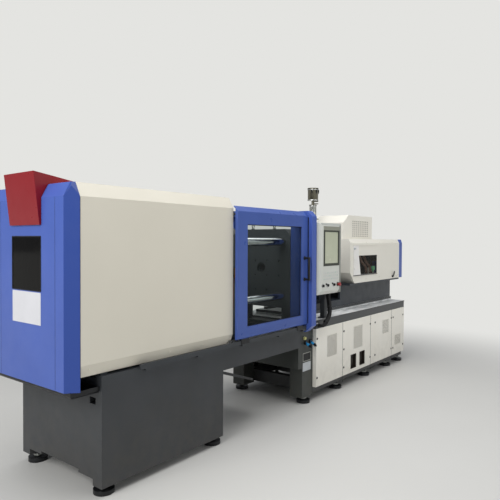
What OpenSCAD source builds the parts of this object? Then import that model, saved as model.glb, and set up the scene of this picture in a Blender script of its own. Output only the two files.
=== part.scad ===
// Horizontal all-electric injection moulding machine with a double toggle clamp.
// Machine axes: X runs from the clamp end to the injection end, the operator stands on the -Y side,
// Z is up from the floor. The origin is the middle of the footprint, on the floor.

/* [Covers] */
// Half of the width over the side covers
half_w = 465; // [455:1:475]
// Length of the blue end cover along the side
end_len = 69; // [50:1:90]
// Length of the clamp covers, up to the guard door
clamp_len = 1420; // [1400:5:1440]
// Top of the clamp covers
cover_top_z = 1885; // [1870:5:1910]
// Height of the long bevel under the top edge
bevel_h = 83; // [60:1:95]
// Depth of that bevel
bevel_in = 45; // [35:1:55]
// Underside of the end cover
end_low_z = 678; // [665:1:690]
// Lower edge of the side covers
cover_low_z = 755; // [750:1:765]
// Height of the lower lip of the side covers
lip_h = 73; // [60:1:80]
// Sheet thickness of the covers
sheet = 3; // [2:0.5:4]
// Width of the end window
end_win_w = 334; // [300:2:360]
// Height of the end window
end_win_h = 326; // [300:2:350]
// Sill of the end window
end_win_z = 1245; // [1235:1:1260]
// Width of the red hood on the clamp end
hood_w = 350; // [320:2:380]

/* [Guard door] */
// Length of the door opening, from the clamp cover to the corner post
door_len = 1020; // [1010:2:1030]
// Lower edge of the door
door_low_z = 783; // [778:1:790]
// Height of the door
door_h = 1040; // [1020:2:1050]
// Width of the door stile next to the clamp covers
stile_w = 124; // [110:1:135]
// Width of the door stile at the closing edge
closing_w = 104; // [95:1:115]
// Sill of the door window
door_win_z = 872; // [865:1:880]
// Height of the door window
door_win_h = 809; // [790:1:815]
// How far the door opens
door_travel = 960; // [900:5:970]
// Width of the corner post
post_w = 80; // [70:1:90]
// How far the corner post stands out from the covers
post_out = 90; // [84:1:100]

/* [Clamp] */
// Height of the machine axis
axis_z = 1290; // [1285:1:1295]
// Pitch of the tie bars, both ways
tie_pitch = 510; // [500:2:520]
// Diameter of the tie bars
tie_d = 75; // [65:1:85]
// Width of the platens
platen_w = 680; // [660:2:700]
// Height of the platens
platen_h = 750; // [730:2:760]
// Mould face of the fixed platen, from the clamp end
fixed_x = 2400; // [2390:2:2410]
// Thickness of the fixed platen
fixed_t = 160; // [150:2:170]
// Thickness of the moving platen
moving_t = 200; // [190:2:205]
// Mould height with the clamp shut
mould_h = 380; // [370:2:390]
// Opening stroke
stroke = 380; // [360:2:384]
// Length of each toggle link
link_l = 260; // [258:1:264]
// Height of the outer toggle pins above and below the axis
toggle_h = 310; // [305:1:312]
// Die height adjustment
die_adjust = 120; // [90:5:130]
// Bore for the locating ring of the mould
locating_d = 100; // [100:1:125]
// Pitch of the mould fixing holes
mould_pitch = 140; // [130:5:140]
// Diameter of the ejector rods
ejector_d = 24; // [16:1:24]
// Distance of the ejector rods from the axis
ejector_y = 36; // [34:1:36]

/* [Bed] */
// Top of the bed plate
bed_z = 785; // [780:1:790]
// Upper edge of the base covers
base_top_z = 700; // [695:1:705]
// Lower edge of the base covers
base_low_z = 133; // [125:1:145]
// Left edge of the base covers
base_x = 2675; // [2670:1:2685]
// Length of the first base cover
cover_a_len = 540; // [530:1:550]
// Length of the second base cover
cover_b_len = 675; // [665:1:685]
// Length of the third base cover
cover_c_len = 600; // [590:1:610]
// Length of the last base cover
cover_d_len = 400; // [390:1:430]
// Depth of the base covers
pan = 40; // [34:1:44]
// Width of a louvre slot
louvre_w = 7; // [5:0.5:9]
// Diameter of the levelling feet
foot_d = 130; // [110:2:150]

/* [Control panel] */
// Width of the panel
panel_w = 465; // [450:1:480]
// Height of the panel
panel_h = 685; // [670:1:700]
// Depth of the panel housing
panel_t = 60; // [50:1:70]
// Lower edge of the panel
panel_z = 1040; // [1035:1:1050]
// Width of the screen
screen_w = 254; // [240:1:264]
// Height of the screen
screen_h = 304; // [290:1:310]
// Diameter of the emergency stop head
stop_d = 40; // [36:1:42]

/* [Injection unit] */
// Front edge of the injection cover
inj_x = 3470; // [3460:2:3480]
// Length of the injection cover
inj_len = 1365; // [1340:5:1380]
// Width of the injection cover
inj_w = 830; // [810:2:840]
// Top of the injection cover
inj_top_z = 1577; // [1570:1:1585]
// Height of the bevel along its top edge
inj_bevel = 46; // [36:1:56]
// Lower edge of the injection cover
inj_low_z = 1085; // [1080:1:1090]
// Length of the rear cap
cap_len = 155; // [140:1:170]
// Length of the raised housing
box_len = 735; // [720:5:750]
// Width of the raised housing
box_w = 620; // [600:2:640]
// Height of the raised housing
box_h = 270; // [260:1:280]
// Barrel diameter
barrel_d = 120; // [110:1:125]
// Screw diameter
screw_d = 45; // [40:1:50]
// Retraction of the injection unit
carriage_travel = 260; // [220:5:270]
// Injection stroke
shot = 120; // [100:2:130]
// Width of a cell in the grille
cell_w = 30; // [24:1:34]
// Height of a cell in the grille
cell_h = 13; // [10:1:16]

/* [Fits] */
// Radial running clearance
fit = 0.05; // [0.03:0.01:0.08]
// Clearance between sliding sheet parts
slide_gap = 2; // [1.5:0.5:3]
// Clearance between a door runner and its rail
runner_gap = 0.3; // [0.3:0.1:0.6]

/* [Hidden] */
$fn = 48;

// Reach of the machine along X and Y, for the origin
hood_out = 50;
stop_out = 34;
panel_y = -half_w - 90;
inj_end = inj_x + inj_len + cap_len;
door_out = 45;
handle_out = 58;
x_mid = (inj_end - hood_out) / 2;
y_mid = (panel_y - stop_out + half_w + door_out + handle_out) / 2;

// Places that follow from the sizes above
door_x1 = clamp_len + door_len;
post_x1 = door_x1 + post_w;
door_y = half_w + door_out;
door_t = 25;
bevel_z = cover_top_z - bevel_h;
lip_in = 30;
post_top_z = door_low_z + door_h + 8;
// Hanger rollers of the doors
roller_r = 11;
roller_z = post_top_z - 72;
tie_r = tie_pitch / 2;
fixed_x1 = fixed_x + fixed_t;
closed_face = fixed_x - mould_h;
open_face = closed_face - stroke;
moving_back = open_face - moving_t;
lug_reach = 60;
pin_front_x = moving_back - lug_reach;
pin_rear_x = pin_front_x + stroke - 2 * link_l;
tail_front = pin_rear_x - 110;
tail_t = 180;
tail_back = tail_front - tail_t;
nut_t = 90;
pulley_x = tail_back - 176;
screw_r = 90;
motor_r = 45;
tie_x0 = tail_back - nut_t - die_adjust - 20;
pin_d = 46;
eye_d = 96;
link_t = 30;
rear_link_y = 100;
front_link_y = rear_link_y + link_t + slide_gap;
// Toggle angle of the open clamp, and the knee below the outer pins
half_span = link_l - stroke / 2;
open_angle = acos(half_span / link_l);
knee_drop = link_l * sin(open_angle);
// Cross link between the crosshead and the middle of the rear link
arm = 170;
cross_pin_z = 110;
cross_l = sqrt(pow(toggle_h - cross_pin_z, 2) + 30 * 30);
arm_drop = toggle_h - arm * sin(open_angle) - cross_pin_z;
cross_x = pin_rear_x + arm * cos(open_angle) - sqrt(cross_l * cross_l - arm_drop * arm_drop);
cross_angle = atan2(arm_drop, sqrt(cross_l * cross_l - arm_drop * arm_drop));
cross_y = rear_link_y - slide_gap - link_t + 4;

riser_y = 290;
riser_z = bed_z + 45;
rail_h = 25;
deck_z = riser_z + rail_h;
bed_end = base_x + cover_a_len + cover_b_len + cover_c_len + cover_d_len + 10;
beam_y = half_w - 10;
rail_y0 = 215;
rail_y1 = platen_w / 2 - 5;
leg_z = 40;
housing_x = 3290;
purge_x = fixed_x1 + 70;
purge_len = 330;
purge_y = 197;
purge_z = 1484;
// Left edge of the control panel, its hinge, and its row of controls
panel_x = post_x1 + 50;
pivot_x = panel_x + panel_w / 2 + 80;
pivot_y = panel_y + panel_t + 24;
selector_x = [panel_x + 66, panel_x + 156, panel_x + 278];
stop_x = panel_x + 357;
control_z = panel_z + 86;
// Gland of the panel harness on the edge of the bed
gland = [base_x + 25, -half_w - 10, 735];
harness_drop = 1080 - gland[2];
harness_route = [
    for (p = [
        [0, 0, 0], [0, 0, 40], [0.01, -8, 90], [0.04, -20, 140], [0.09, -31, 190], [0.17, -38, 235],
        [0.30, -40, 272], [0.46, -40, 302], [0.65, -40, 326], [0.83, -40, 340], [0.95, -36, 345],
        [1, -22, 345], [1, gland[1] - pivot_y, 345]
    ])
        [pivot_x + p[0] * (gland[0] - pivot_x), pivot_y + p[1], 1080 - p[2] * harness_drop / 345]
];
nozzle_x = fixed_x + 70;
// Window of the injection cover, and the panel that slides over it
win_x = inj_x + 202;
win_w = 479;
win_z0 = 1177;
win_z1 = 1390;
// Left face of the block under the fixed platen, and the sockets and louvres of the base covers
block_x = base_x - 255;
block_y = half_w - pan;
// Underside of the plinth under the base covers, and the rows of cover locks
plinth_z = 73;
lock_z = [222, 604];
joint_b = base_x + cover_a_len;
joint_c = joint_b + cover_b_len;
joint_d = joint_c + cover_c_len;
socket_x = [joint_b + 182, joint_b + 394];
socket_w = 136;
socket_z = [170, 324];

blue = [0.29, 0.39, 0.72];
deep_blue = [0.20, 0.28, 0.53];
white = [0.91, 0.90, 0.86];
panel_grey = [0.77, 0.78, 0.76];
red = [0.63, 0.16, 0.21];
dark = [0.24, 0.25, 0.27];
iron = [0.30, 0.31, 0.32];
black = [0.09, 0.09, 0.10];
steel = [0.72, 0.73, 0.74];
glass = [0.17, 0.17, 0.18];

// Basic solids in machine axes
module place() {
    translate([-x_mid, -y_mid, 0])
        children();
}
module block(x0, x1, y0, y1, z0, z1) {
    translate([x0, y0, z0])
        cube([x1 - x0, y1 - y0, z1 - z0]);
}
module rod_x(x0, x1, y, z, d) {
    translate([x0, y, z])
        rotate([0, 90, 0])
            cylinder(h = x1 - x0, d = d);
}
module rod_y(x, y0, y1, z, d) {
    translate([x, y1, z])
        rotate([90, 0, 0])
            cylinder(h = y1 - y0, d = d);
}
module rod_z(x, y, z0, z1, d) {
    translate([x, y, z0])
        cylinder(h = z1 - z0, d = d);
}
// Outline in Y and Z, drawn out along X
module along_x(x0, x1, outline) {
    translate([x0, 0, 0])
        rotate([90, 0, 90])
            linear_extrude(x1 - x0)
                polygon(outline);
}
// Outline in X and Z, drawn out along Y
module along_y(y0, y1, outline) {
    translate([0, y1, 0])
        rotate([90, 0, 0])
            linear_extrude(y1 - y0)
                polygon(outline);
}
// Outline in X and Y, drawn out along Z
module along_z(z0, z1, outline) {
    translate([0, 0, z0])
        linear_extrude(z1 - z0)
            polygon(outline);
}
module both_sides() {
    children();
    mirror([0, 1, 0])
        children();
}
module four_corners(dy, dz) {
    for (sy = [-1, 1])
        for (sz = [-1, 1])
            translate([0, sy * dy, axis_z + sz * dz])
                children();
}
// Share of its legs that a corner bevel keeps when both walls move in by t
function bevel_share(a, b, t) = 1 + t * (sqrt(1 / (a * a) + 1 / (b * b)) - 1 / a - 1 / b);

// Clamp enclosure
module clamp_shape(t, x1, z0) {
    w = half_w - t;
    top = cover_top_z - t;
    corner = 60;
    kc = bevel_share(end_len, corner, t);
    kb = bevel_share(bevel_in, bevel_h, t);
    intersection() {
        along_z(z0, top, [
            [t, -w + corner * kc], [t + end_len * kc, -w], [x1, -w],
            [x1, w], [t + end_len * kc, w], [t, w - corner * kc]
        ]);
        along_x(t, x1, [
            [-w, z0], [-w, top - bevel_h * kb], [-w + bevel_in * kb, top],
            [w - bevel_in * kb, top], [w, top - bevel_h * kb], [w, z0]
        ]);
        along_y(-w, w, [
            [t, z0], [x1, z0], [x1, top], [t + bevel_in * kb, top], [t, top - bevel_h * kb]
        ]);
    }
}
module clamp_shell(z0) {
    difference() {
        clamp_shape(0, clamp_len, z0);
        clamp_shape(sheet, clamp_len + 1, z0 - 1);
    }
}
module end_cover() {
    color(blue) place() difference() {
        intersection() {
            clamp_shell(end_low_z);
            block(-1, end_len, -half_w - 1, half_w + 1, end_low_z - 1, cover_top_z + 1);
        }
        block(-1, sheet + 1, -end_win_w / 2, end_win_w / 2, end_win_z, end_win_z + end_win_h);
        for (sy = [-1, 1])
            translate([-1, sy * 318 - 1.5, end_low_z - 1])
                cube([2.4, 3, bevel_z - end_low_z]);
    }
}
module end_window() {
    rim = 14;
    color(glass) place() union() {
        block(0.8, sheet, -end_win_w / 2, end_win_w / 2, end_win_z, end_win_z + end_win_h);
        block(sheet, sheet + 4, -end_win_w / 2 - rim, end_win_w / 2 + rim,
            end_win_z - rim, end_win_z + end_win_h + rim);
    }
}
// Red hood that hangs over the top edge of the clamp end
module end_hood() {
    low_z = cover_top_z - 245;
    top_z = cover_top_z + 71;
    ridge_z = cover_top_z + 51;
    color(red) place() difference() {
        along_y(-hood_w / 2, hood_w / 2, [
            [0, low_z], [-13, low_z], [-hood_out, top_z], [90, ridge_z], [420, cover_top_z],
            [bevel_in, cover_top_z], [0, bevel_z]
        ]);
        along_y(-hood_w / 2 + sheet, hood_w / 2 - sheet, [
            [0, low_z + sheet], [-13 + sheet, low_z + sheet], [-hood_out + sheet + 1, top_z - sheet],
            [90, ridge_z - sheet], [400, cover_top_z], [bevel_in, cover_top_z], [0, bevel_z]
        ]);
    }
}
module side_cover() {
    difference() {
        intersection() {
            clamp_shell(cover_low_z);
            block(end_len, clamp_len, -half_w - 1, -half_w + bevel_in, cover_low_z, cover_top_z + 1);
        }
        along_x(end_len - 1, clamp_len + 1, [
            [-half_w - 1, cover_low_z - 1], [-half_w - 1, cover_low_z + lip_h],
            [-half_w, cover_low_z + lip_h], [-half_w + lip_in, cover_low_z - 1]
        ]);
    }
    // Lower lip turned in under the cover
    along_x(end_len, clamp_len, [
        [-half_w, cover_low_z + lip_h], [-half_w + sheet, cover_low_z + lip_h],
        [-half_w + lip_in + sheet, cover_low_z], [-half_w + lip_in, cover_low_z]
    ]);
}
module side_covers() {
    color(white) place() both_sides() side_cover();
}
module roof_cover() {
    color(white) place() difference() {
        block(end_len, clamp_len, -half_w + bevel_in, half_w - bevel_in, cover_top_z - sheet, cover_top_z);
        for (i = [0 : 9])
            block(620 + i * 36, 634 + i * 36, -150, 150, cover_top_z - sheet - 1, cover_top_z + 1);
    }
}
// Frame that carries the covers, the doors and the guards round the mould space
module guard_frame() {
    inner = half_w - sheet;
    color(dark) place() union() {
        both_sides() {
            for (x = [230, 1330])
                along_x(x, x + 50, [
                    [-beam_y + 60, 740], [-half_w + lip_in + 5, 740], [-half_w + lip_in + 5, cover_low_z],
                    [-half_w + 5, cover_low_z + lip_h], [-inner, cover_low_z + lip_h + 8],
                    [-inner, bevel_z - 6], [-inner + 40, bevel_z - 6], [-inner + 40, 900], [-beam_y + 60, 860]
                ]);
            block(230, 1380, -inner + 4, -inner + 40, bevel_z - 46, bevel_z - 6);
            // Top beam over the door opening, with the two hanger rollers of the door
            block(1380, door_x1, -half_w + 3, -half_w + 43, post_top_z - 90, post_top_z - 50);
            for (x = [clamp_len + 20, clamp_len + 52])
                rod_y(x, -half_w - 12, -half_w + 3, roller_z, 2 * roller_r);
            // Lower guide rail on brackets under the door
            block(clamp_len - door_travel + 20, door_x1, -half_w - 34, -half_w - 22, 736, 768);
            for (x = [520, 1000, 1500, 2000, door_x1 - 60])
                block(x, x + 60, -half_w - 34, -beam_y, 724, 736);
        }
        // Cross beams at the clamp end and behind the toggle
        for (x = [230, 1330])
            block(x, x + 50, -inner + 40, inner - 40, bevel_z - 46, bevel_z - 6);
    }
}
module drip_tray() {
    w = half_w - 30;
    color(black) place() difference() {
        intersection() {
            along_x(24, 220, [
                [-w, end_low_z], [-w, 652], [-w + 14, 638], [w - 14, 638], [w, 652], [w, end_low_z]
            ]);
            along_y(-w, w, [[24, end_low_z], [24, 656], [32, 644], [46, 638], [220, 638], [220, end_low_z]]);
        }
        block(30, 216, -w + 6, w - 6, 646, end_low_z + 1);
    }
}
// Bed of the clamp: a welded frame that is open below the mould for the product chute
module clamp_bed() {
    x0 = 220;
    x1 = block_x;
    color(dark) place() union() {
        both_sides() {
            block(x0, x1, -beam_y, -beam_y + 60, 560, 740);
            block(x0, x1, -rail_y1, -rail_y0, 560, 770);
            for (x = [x0, 1230])
                block(x, x + 90, -beam_y, -rail_y0, leg_z + 60, 560);
            block(x0, 1320, -beam_y, -beam_y + 90, leg_z + 20, leg_z + 80);
            for (x = [x0, 760, 1230, 1800, x1 - 60])
                block(x, x + 60, -beam_y + 60, -rail_y1, 600, 720);
        }
        for (x = [x0, 1230])
            block(x, x + 60, -rail_y0, rail_y0, 300, 700);
        block(x1 - 40, x1, -rail_y0, rail_y0, 560, 700);
        // Side and end sheets of the clamp base, hardened rails, and the sloped chute floor
        both_sides() {
            block(x0 + 90, 1230, -beam_y, -beam_y + 5, leg_z + 80, 560);
            difference() {
                block(700, fixed_x - 20, -rail_y1 + 8, -rail_y0 - 8, 770, bed_z);
                for (x = [760 : 160 : 2320])
                    rod_z(x, -(rail_y0 + rail_y1) / 2, bed_z - 8, bed_z + 1, 20);
            }
        }
        block(x0, x0 + 5, -rail_y0, rail_y0, leg_z + 80, 300);
        along_y(-rail_y0, rail_y0, [[1290, 560], [1290, 540], [2000, 300], [2000, 320], [1320, 560]]);
    }
}
// Block under the fixed platen, with the water connections on its face
module platen_base() {
    color([0.36, 0.38, 0.39]) place() difference() {
        union() {
            block(block_x, base_x, -block_y, block_y, 347, base_top_z);
            block(block_x, base_x, -half_w + 72, half_w - 72, base_top_z, bed_z - 12);
            both_sides()
                block(block_x + 70, base_x - 10, -block_y, -block_y + 140, leg_z + 20, 347);
        }
        block(block_x + 40, base_x + 1, -half_w + 90, half_w - 90, 346, 640);
        // Places of the plates on the leg
        for (z = [310, 402])
            block(block_x + 78, block_x + 223, -block_y - 1, -block_y + 2, z, z + 86);
    }
}
module couplings() {
    face = -block_y;
    color([0.13, 0.47, 0.80]) place() {
        for (x = [block_x + 119, block_x + 206])
            union() {
                rod_y(x, face - 12, face, 585, 36);
                translate([x, face - 6, 584])
                    rotate([109, 0, -18])
                        cylinder(h = 66, d = 25);
            }
        rod_y(block_x + 97, face - 14, face, 630, 30);
    }
}
module injection_bed() {
    color(dark) place() union() {
        both_sides() {
            block(base_x, bed_end, -half_w + pan, -half_w + pan + 60, base_top_z - 80, base_top_z);
            block(base_x, bed_end, -half_w + pan, -half_w + pan + 60, plinth_z, base_low_z + 60);
            for (x = [base_x, joint_b - 30, joint_c - 30, joint_d - 30, bed_end - 60])
                block(x, x + 60, -half_w + pan, -half_w + pan + 60, base_low_z + 60, base_top_z - 80);
        }
        for (x = [base_x, joint_b - 30, joint_c - 30, joint_d - 30, bed_end - 60]) {
            block(x, x + 60, -half_w + pan + 60, half_w - pan - 60, base_top_z - 80, base_top_z);
            block(x, x + 60, -half_w + pan + 60, half_w - pan - 60, plinth_z, base_low_z + 60);
        }
        // Closed end wall
        block(bed_end - 4, bed_end, -half_w + pan + 60, half_w - pan - 60, base_low_z + 60, base_top_z - 80);
    }
}
module bed_plate() {
    x0 = base_x - 115;
    color(steel) place() union() {
        block(x0, bed_end, -half_w, half_w, bed_z - 12, bed_z);
        block(base_x, bed_end, -half_w + 6, half_w - 6, base_top_z, bed_z - 12);
        // Riser under the injection unit and its linear rails
        block(base_x + 25, bed_end - 20, -riser_y, riser_y, bed_z, riser_z);
        both_sides()
            block(base_x + 85, bed_end - 40, -230, -190, riser_z, riser_z + rail_h);
        // Gland of the panel harness
        rod_y(gland[0], gland[1], -half_w + 6, gland[2], 44);
    }
}
module levelling_feet() {
    foot_y = half_w - 85;
    color(black) place() both_sides() {
        for (x = [290, 1275]) {
            rod_z(x, -foot_y, 0, 28, foot_d);
            rod_z(x, -foot_y, 28, leg_z + 20, 40);
        }
        rod_z(base_x - 95, -foot_y, 0, 28, foot_d);
        rod_z(base_x - 95, -foot_y, 28, leg_z + 20, 40);
        for (x = [joint_b, joint_c, joint_d, bed_end - 40]) {
            rod_z(x, -foot_y, 0, 28, foot_d);
            rod_z(x, -foot_y, 28, plinth_z, 40);
        }
    }
}

// Base covers: folded pans with pressed louvres
module pan_cover(x0, x1) {
    difference() {
        block(x0 + 1.5, x1 - 1.5, -half_w, -half_w + pan, base_low_z, base_top_z);
        block(x0 + 1.5 + sheet, x1 - 1.5 - sheet, -half_w + sheet, -half_w + pan + 1,
            base_low_z + sheet, base_top_z - sheet);
    }
}
module louvres(x0, w, z0, h) {
    pitch = 15.5;
    n = floor((w + h) / pitch);
    translate([0, -half_w + sheet + 1, 0])
        rotate([90, 0, 0])
            linear_extrude(sheet + 2)
                intersection() {
                    translate([x0, z0])
                        square([w, h]);
                    for (i = [1 : n])
                        translate([x0 + i * pitch - h, z0])
                            polygon([[h, 0], [h + louvre_w, 0], [louvre_w, h], [0, h]]);
                }
}
module quarter_turns(x_list, z_list) {
    for (x = x_list)
        for (z = z_list)
            rod_y(x, -half_w - 3, -half_w, z, 20);
}
module base_cover_a() {
    color(white) place() union() {
        difference() {
            pan_cover(base_x, joint_b);
            louvres(base_x + 213, 203, 388, 215);
        }
        quarter_turns([base_x + 14], lock_z);
    }
}
module base_cover_b() {
    color(white) place() union() {
        difference() {
            pan_cover(joint_b, joint_c);
            louvres(joint_b + 249, 219, 377, 242);
            for (x = socket_x)
                block(x, x + socket_w, -half_w - 1, -half_w + sheet + 1, socket_z[0], socket_z[1]);
        }
        quarter_turns([joint_b + 20, joint_c - 16], lock_z);
        quarter_turns([joint_b + 20], [(lock_z[0] + lock_z[1]) / 2]);
    }
}
module power_sockets() {
    // A box behind each opening of the cover, with a round insert on its back wall
    back = -half_w + pan - 5;
    color(black) place() for (x = socket_x)
        union() {
            difference() {
                block(x - 8, x + socket_w + 8, -half_w + sheet, -half_w + pan, socket_z[0] - 8, socket_z[1] + 8);
                block(x, x + socket_w, -half_w + sheet - 1, back, socket_z[0], socket_z[1]);
            }
            rod_y(x + socket_w / 2, back - 12, back, (socket_z[0] + socket_z[1]) / 2, 58);
        }
}
module base_cover_c() {
    color(white) place() union() {
        difference() {
            pan_cover(joint_c, joint_d);
            louvres(joint_c + 329, 187, 437, 162);
        }
        quarter_turns([joint_c + 115, joint_d - 16], lock_z);
    }
}
module base_cover_d() {
    x1 = joint_d + cover_d_len;
    color(white) place() union() {
        difference() {
            pan_cover(joint_d, x1);
            louvres(joint_d + 100, 190, 250, 120);
        }
        quarter_turns([joint_d + 40, x1 - 40], lock_z);
    }
}
module base_rear_covers() {
    edges = [base_x, joint_b, joint_c, joint_d, bed_end - 10];
    color(white) place() mirror([0, 1, 0]) for (i = [0 : 3])
        union() {
            difference() {
                pan_cover(edges[i], edges[i + 1]);
                if (i == 1 || i == 2)
                    louvres(edges[i] + 200, 200, 240, 200);
            }
            quarter_turns([edges[i] + 40, edges[i + 1] - 40], lock_z);
        }
}

// Corner posts beside the doors: folded channels with a bevelled head and a slanted foot
module corner_post() {
    y0 = -half_w - post_out;
    foot = 766;
    // The inner flange passes over the beam of the clamp bed
    flange = 745;
    difference() {
        along_x(door_x1, post_x1, [
            [y0, foot], [y0, post_top_z - 52], [y0 + 46, post_top_z], [-half_w + 60, post_top_z],
            [-half_w + 60, flange], [-half_w + 6, flange], [-half_w + 6, 712], [-half_w - 20, 705]
        ]);
        along_x(door_x1 + sheet, post_x1 - sheet, [
            [y0 + sheet, foot + 4], [y0 + sheet, post_top_z - 54], [y0 + 47, post_top_z - sheet],
            [-half_w + 61, post_top_z - sheet], [-half_w + 61, flange + sheet], [-half_w + 6 - sheet, flange + sheet],
            [-half_w + 6 - sheet, 718], [-half_w - 19, 712]
        ]);
    }
}
module corner_posts() {
    color(blue) place() both_sides() corner_post();
}
// Inner guards beside the fixed platen and the covers behind the posts
module platen_covers() {
    w = platen_w / 2 + 6;
    color(white) place() both_sides() union() {
        block(post_x1, post_x1 + 125, -half_w, -half_w + sheet, bed_z, post_top_z);
        block(post_x1 + 125 - sheet, post_x1 + 125, -half_w + sheet, -half_w + 75, bed_z, post_top_z);
        block(post_x1, post_x1 + 125 - sheet, -half_w + sheet, -half_w + 75,
            post_top_z - sheet, post_top_z);
    }
    color(blue) place() both_sides() {
        block(door_x1 - 40, door_x1 - 37, -half_w + 3, -w, bed_z, post_top_z - 90);
        block(door_x1 - 37, door_x1, -half_w + 57, -half_w + 60, bed_z, post_top_z - 90);
    }
}

// Doors: one module, drawn on the operator side
module door_leaf() {
    y0 = -door_y;
    y1 = y0 + door_t;
    top = door_low_z + door_h;
    win_x0 = clamp_len + stile_w;
    win_x1 = door_x1 - closing_w;
    difference() {
        along_x(clamp_len + slide_gap, door_x1 - slide_gap, [
            [y0, door_low_z + 10], [y0, top - 42], [y0 + 42, top], [-half_w - slide_gap, top],
            [-half_w - slide_gap, top - 6], [y1, top - 24], [y1, door_low_z], [y0 + 10, door_low_z]
        ]);
        block(win_x0, win_x1, y0 - 1, y1 + 1, door_win_z, door_win_z + door_win_h);
        // Rebate for the glass, and the folded step along the bottom rail
        block(win_x0 - 12, win_x1 + 12, y1 - 8, y1 + 1, door_win_z - 12, door_win_z + door_win_h + 12);
        block(clamp_len, door_x1, y0 - 1, y0 + 3, door_low_z - 1, door_low_z + 42);
    }
    // Upper track that hangs on the rollers, and the shoe on the lower rail
    difference() {
        block(clamp_len + 8, door_x1 - 8, y1, -half_w - slide_gap,
            roller_z - roller_r - runner_gap - 8, roller_z + roller_r + runner_gap + 8);
        block(clamp_len, door_x1, y1 + 3, -half_w - slide_gap + 1,
            roller_z - roller_r - runner_gap, roller_z + roller_r + runner_gap);
    }
    for (x = [clamp_len + 60, door_x1 - 160])
        difference() {
            block(x, x + 100, y0 + 6, y1 + 5, 740, door_low_z);
            block(x - 1, x + 101, -half_w - 34 - runner_gap, -half_w - 22 + runner_gap, 739, 768 + runner_gap);
        }
}
// U-bar handle near the closing edge
module door_handle() {
    x = door_x1 - 57;
    y0 = -door_y;
    z0 = 1192;
    z1 = 1405;
    color(black) for (z = [z0 + 9, z1 - 9])
        rod_y(x, y0 - handle_out + 9, y0, z, 18);
    color(black) rod_z(x, y0 - handle_out + 9, z0, z1, 18);
}
module front_door() {
    color(deep_blue) place() door_leaf();
    place() door_handle();
}
module rear_door() {
    color(deep_blue) place() mirror([0, 1, 0]) door_leaf();
    place() mirror([0, 1, 0]) door_handle();
}
module pane() {
    y1 = -door_y + door_t;
    block(clamp_len + stile_w - 12, door_x1 - closing_w + 12, y1 - 8, y1 - 3,
        door_win_z - 12, door_win_z + door_win_h + 12);
}
module front_glass() {
    color(glass) place() pane();
}
module rear_glass() {
    color(glass) place() mirror([0, 1, 0]) pane();
}

// Platens
module mould_holes(x0, x1) {
    for (iy = [-1.5 : 1 : 1.5])
        for (iz = [-1.5 : 1 : 1.5])
            if (abs(iy) + abs(iz) < 3)
                rod_x(x0, x1, iy * mould_pitch, axis_z + iz * mould_pitch, 18);
}
module platen_plate(x0, x1, bar_hole) {
    w = platen_w / 2;
    h = platen_h / 2;
    c = 62;
    difference() {
        along_x(x0, x1, [
            [-w, axis_z - h], [-w, axis_z + h - c], [-w + c, axis_z + h],
            [w - c, axis_z + h], [w, axis_z + h - c], [w, axis_z - h]
        ]);
        for (sy = [-1, 1])
            for (sz = [-1, 1])
                rod_x(x0 - 1, x1 + 1, sy * tie_r, axis_z + sz * tie_r, bar_hole);
    }
}
module platen_feet(x0, x1) {
    both_sides()
        block(x0, x1, -rail_y1 + 8, -rail_y0 - 8, bed_z, axis_z - platen_h / 2);
}
module fixed_platen() {
    color(iron) place() difference() {
        union() {
            platen_plate(fixed_x, fixed_x1, tie_d);
            both_sides()
                block(2430, fixed_x1, -rail_y1 + 8, -rail_y0 - 8, bed_z - 12, axis_z - platen_h / 2);
            // Bracket and pin of the purge guard
            block(fixed_x1, purge_x - 2, purge_y - 9, purge_y + 8, purge_z - 8, purge_z + 8);
            rod_x(purge_x - 2, purge_x + purge_len + 4, purge_y, purge_z, 8 - 2 * fit);
        }
        rod_x(fixed_x - 1, fixed_x + 30, 0, axis_z, locating_d);
        mould_holes(fixed_x - 1, fixed_x + 60);
        // Cone for the nozzle
        translate([fixed_x + 29, 0, axis_z])
            rotate([0, 90, 0])
                cylinder(h = fixed_t - 28, d1 = 60, d2 = 260);
        // Robot mounting holes in the top face
        for (x = [fixed_x + 40, fixed_x1 - 40])
            for (y = [-130, 130])
                rod_z(x, y, axis_z + platen_h / 2 - 30, axis_z + platen_h / 2 + 1, 16);
    }
}
module tie_bars() {
    color(steel) place() four_corners(tie_r, tie_r) {
        rod_x(tie_x0, fixed_x1 + 20, 0, 0, tie_d);
        difference() {
            rod_x(fixed_x1, fixed_x1 + 60, 0, 0, tie_d + 50);
            rod_x(fixed_x1 - 1, fixed_x1 + 20, 0, 0, tie_d);
            rod_x(fixed_x1 + 48, fixed_x1 + 61, 0, 0, 40);
        }
    }
}
// Pair of lugs outside the link plates
module lugs(x_face, pin_x, z) {
    for (y = [-front_link_y - link_t - slide_gap - 34, front_link_y + link_t + slide_gap])
        difference() {
            union() {
                rod_y(pin_x, y, y + 34, z, eye_d);
                block(min(pin_x, x_face), max(pin_x, x_face), y, y + 34, z - eye_d / 2, z + eye_d / 2);
            }
            rod_y(pin_x, y - 1, y + 35, z, pin_d + 2 * fit);
        }
}
module tail_platen() {
    color(iron) place() union() {
        difference() {
            union() {
                platen_plate(tail_back, tail_front, tie_d + 2 * fit);
                platen_feet(tail_back + 10, tail_front - 10);
            }
            // Window for the crosshead, and pockets of the casting
            block(tail_back + 60, tail_front + 1, -128, 128, axis_z - 160, axis_z + 160);
            rod_x(tail_back - 1, tail_back + 61, 0, axis_z, 90);
            for (sy = [-1, 1])
                block(tail_back - 1, tail_back + 110, sy * 262 - 50, sy * 262 + 50, axis_z - 150, axis_z + 150);
        }
        for (sz = [-1, 1])
            lugs(tail_front, pin_rear_x, axis_z + sz * toggle_h);
        // Guide rods of the crosshead
        for (sy = [-1, 1])
            rod_x(tail_back + 60, pin_rear_x + 190, sy * 52, axis_z, 24);
    }
}
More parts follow.
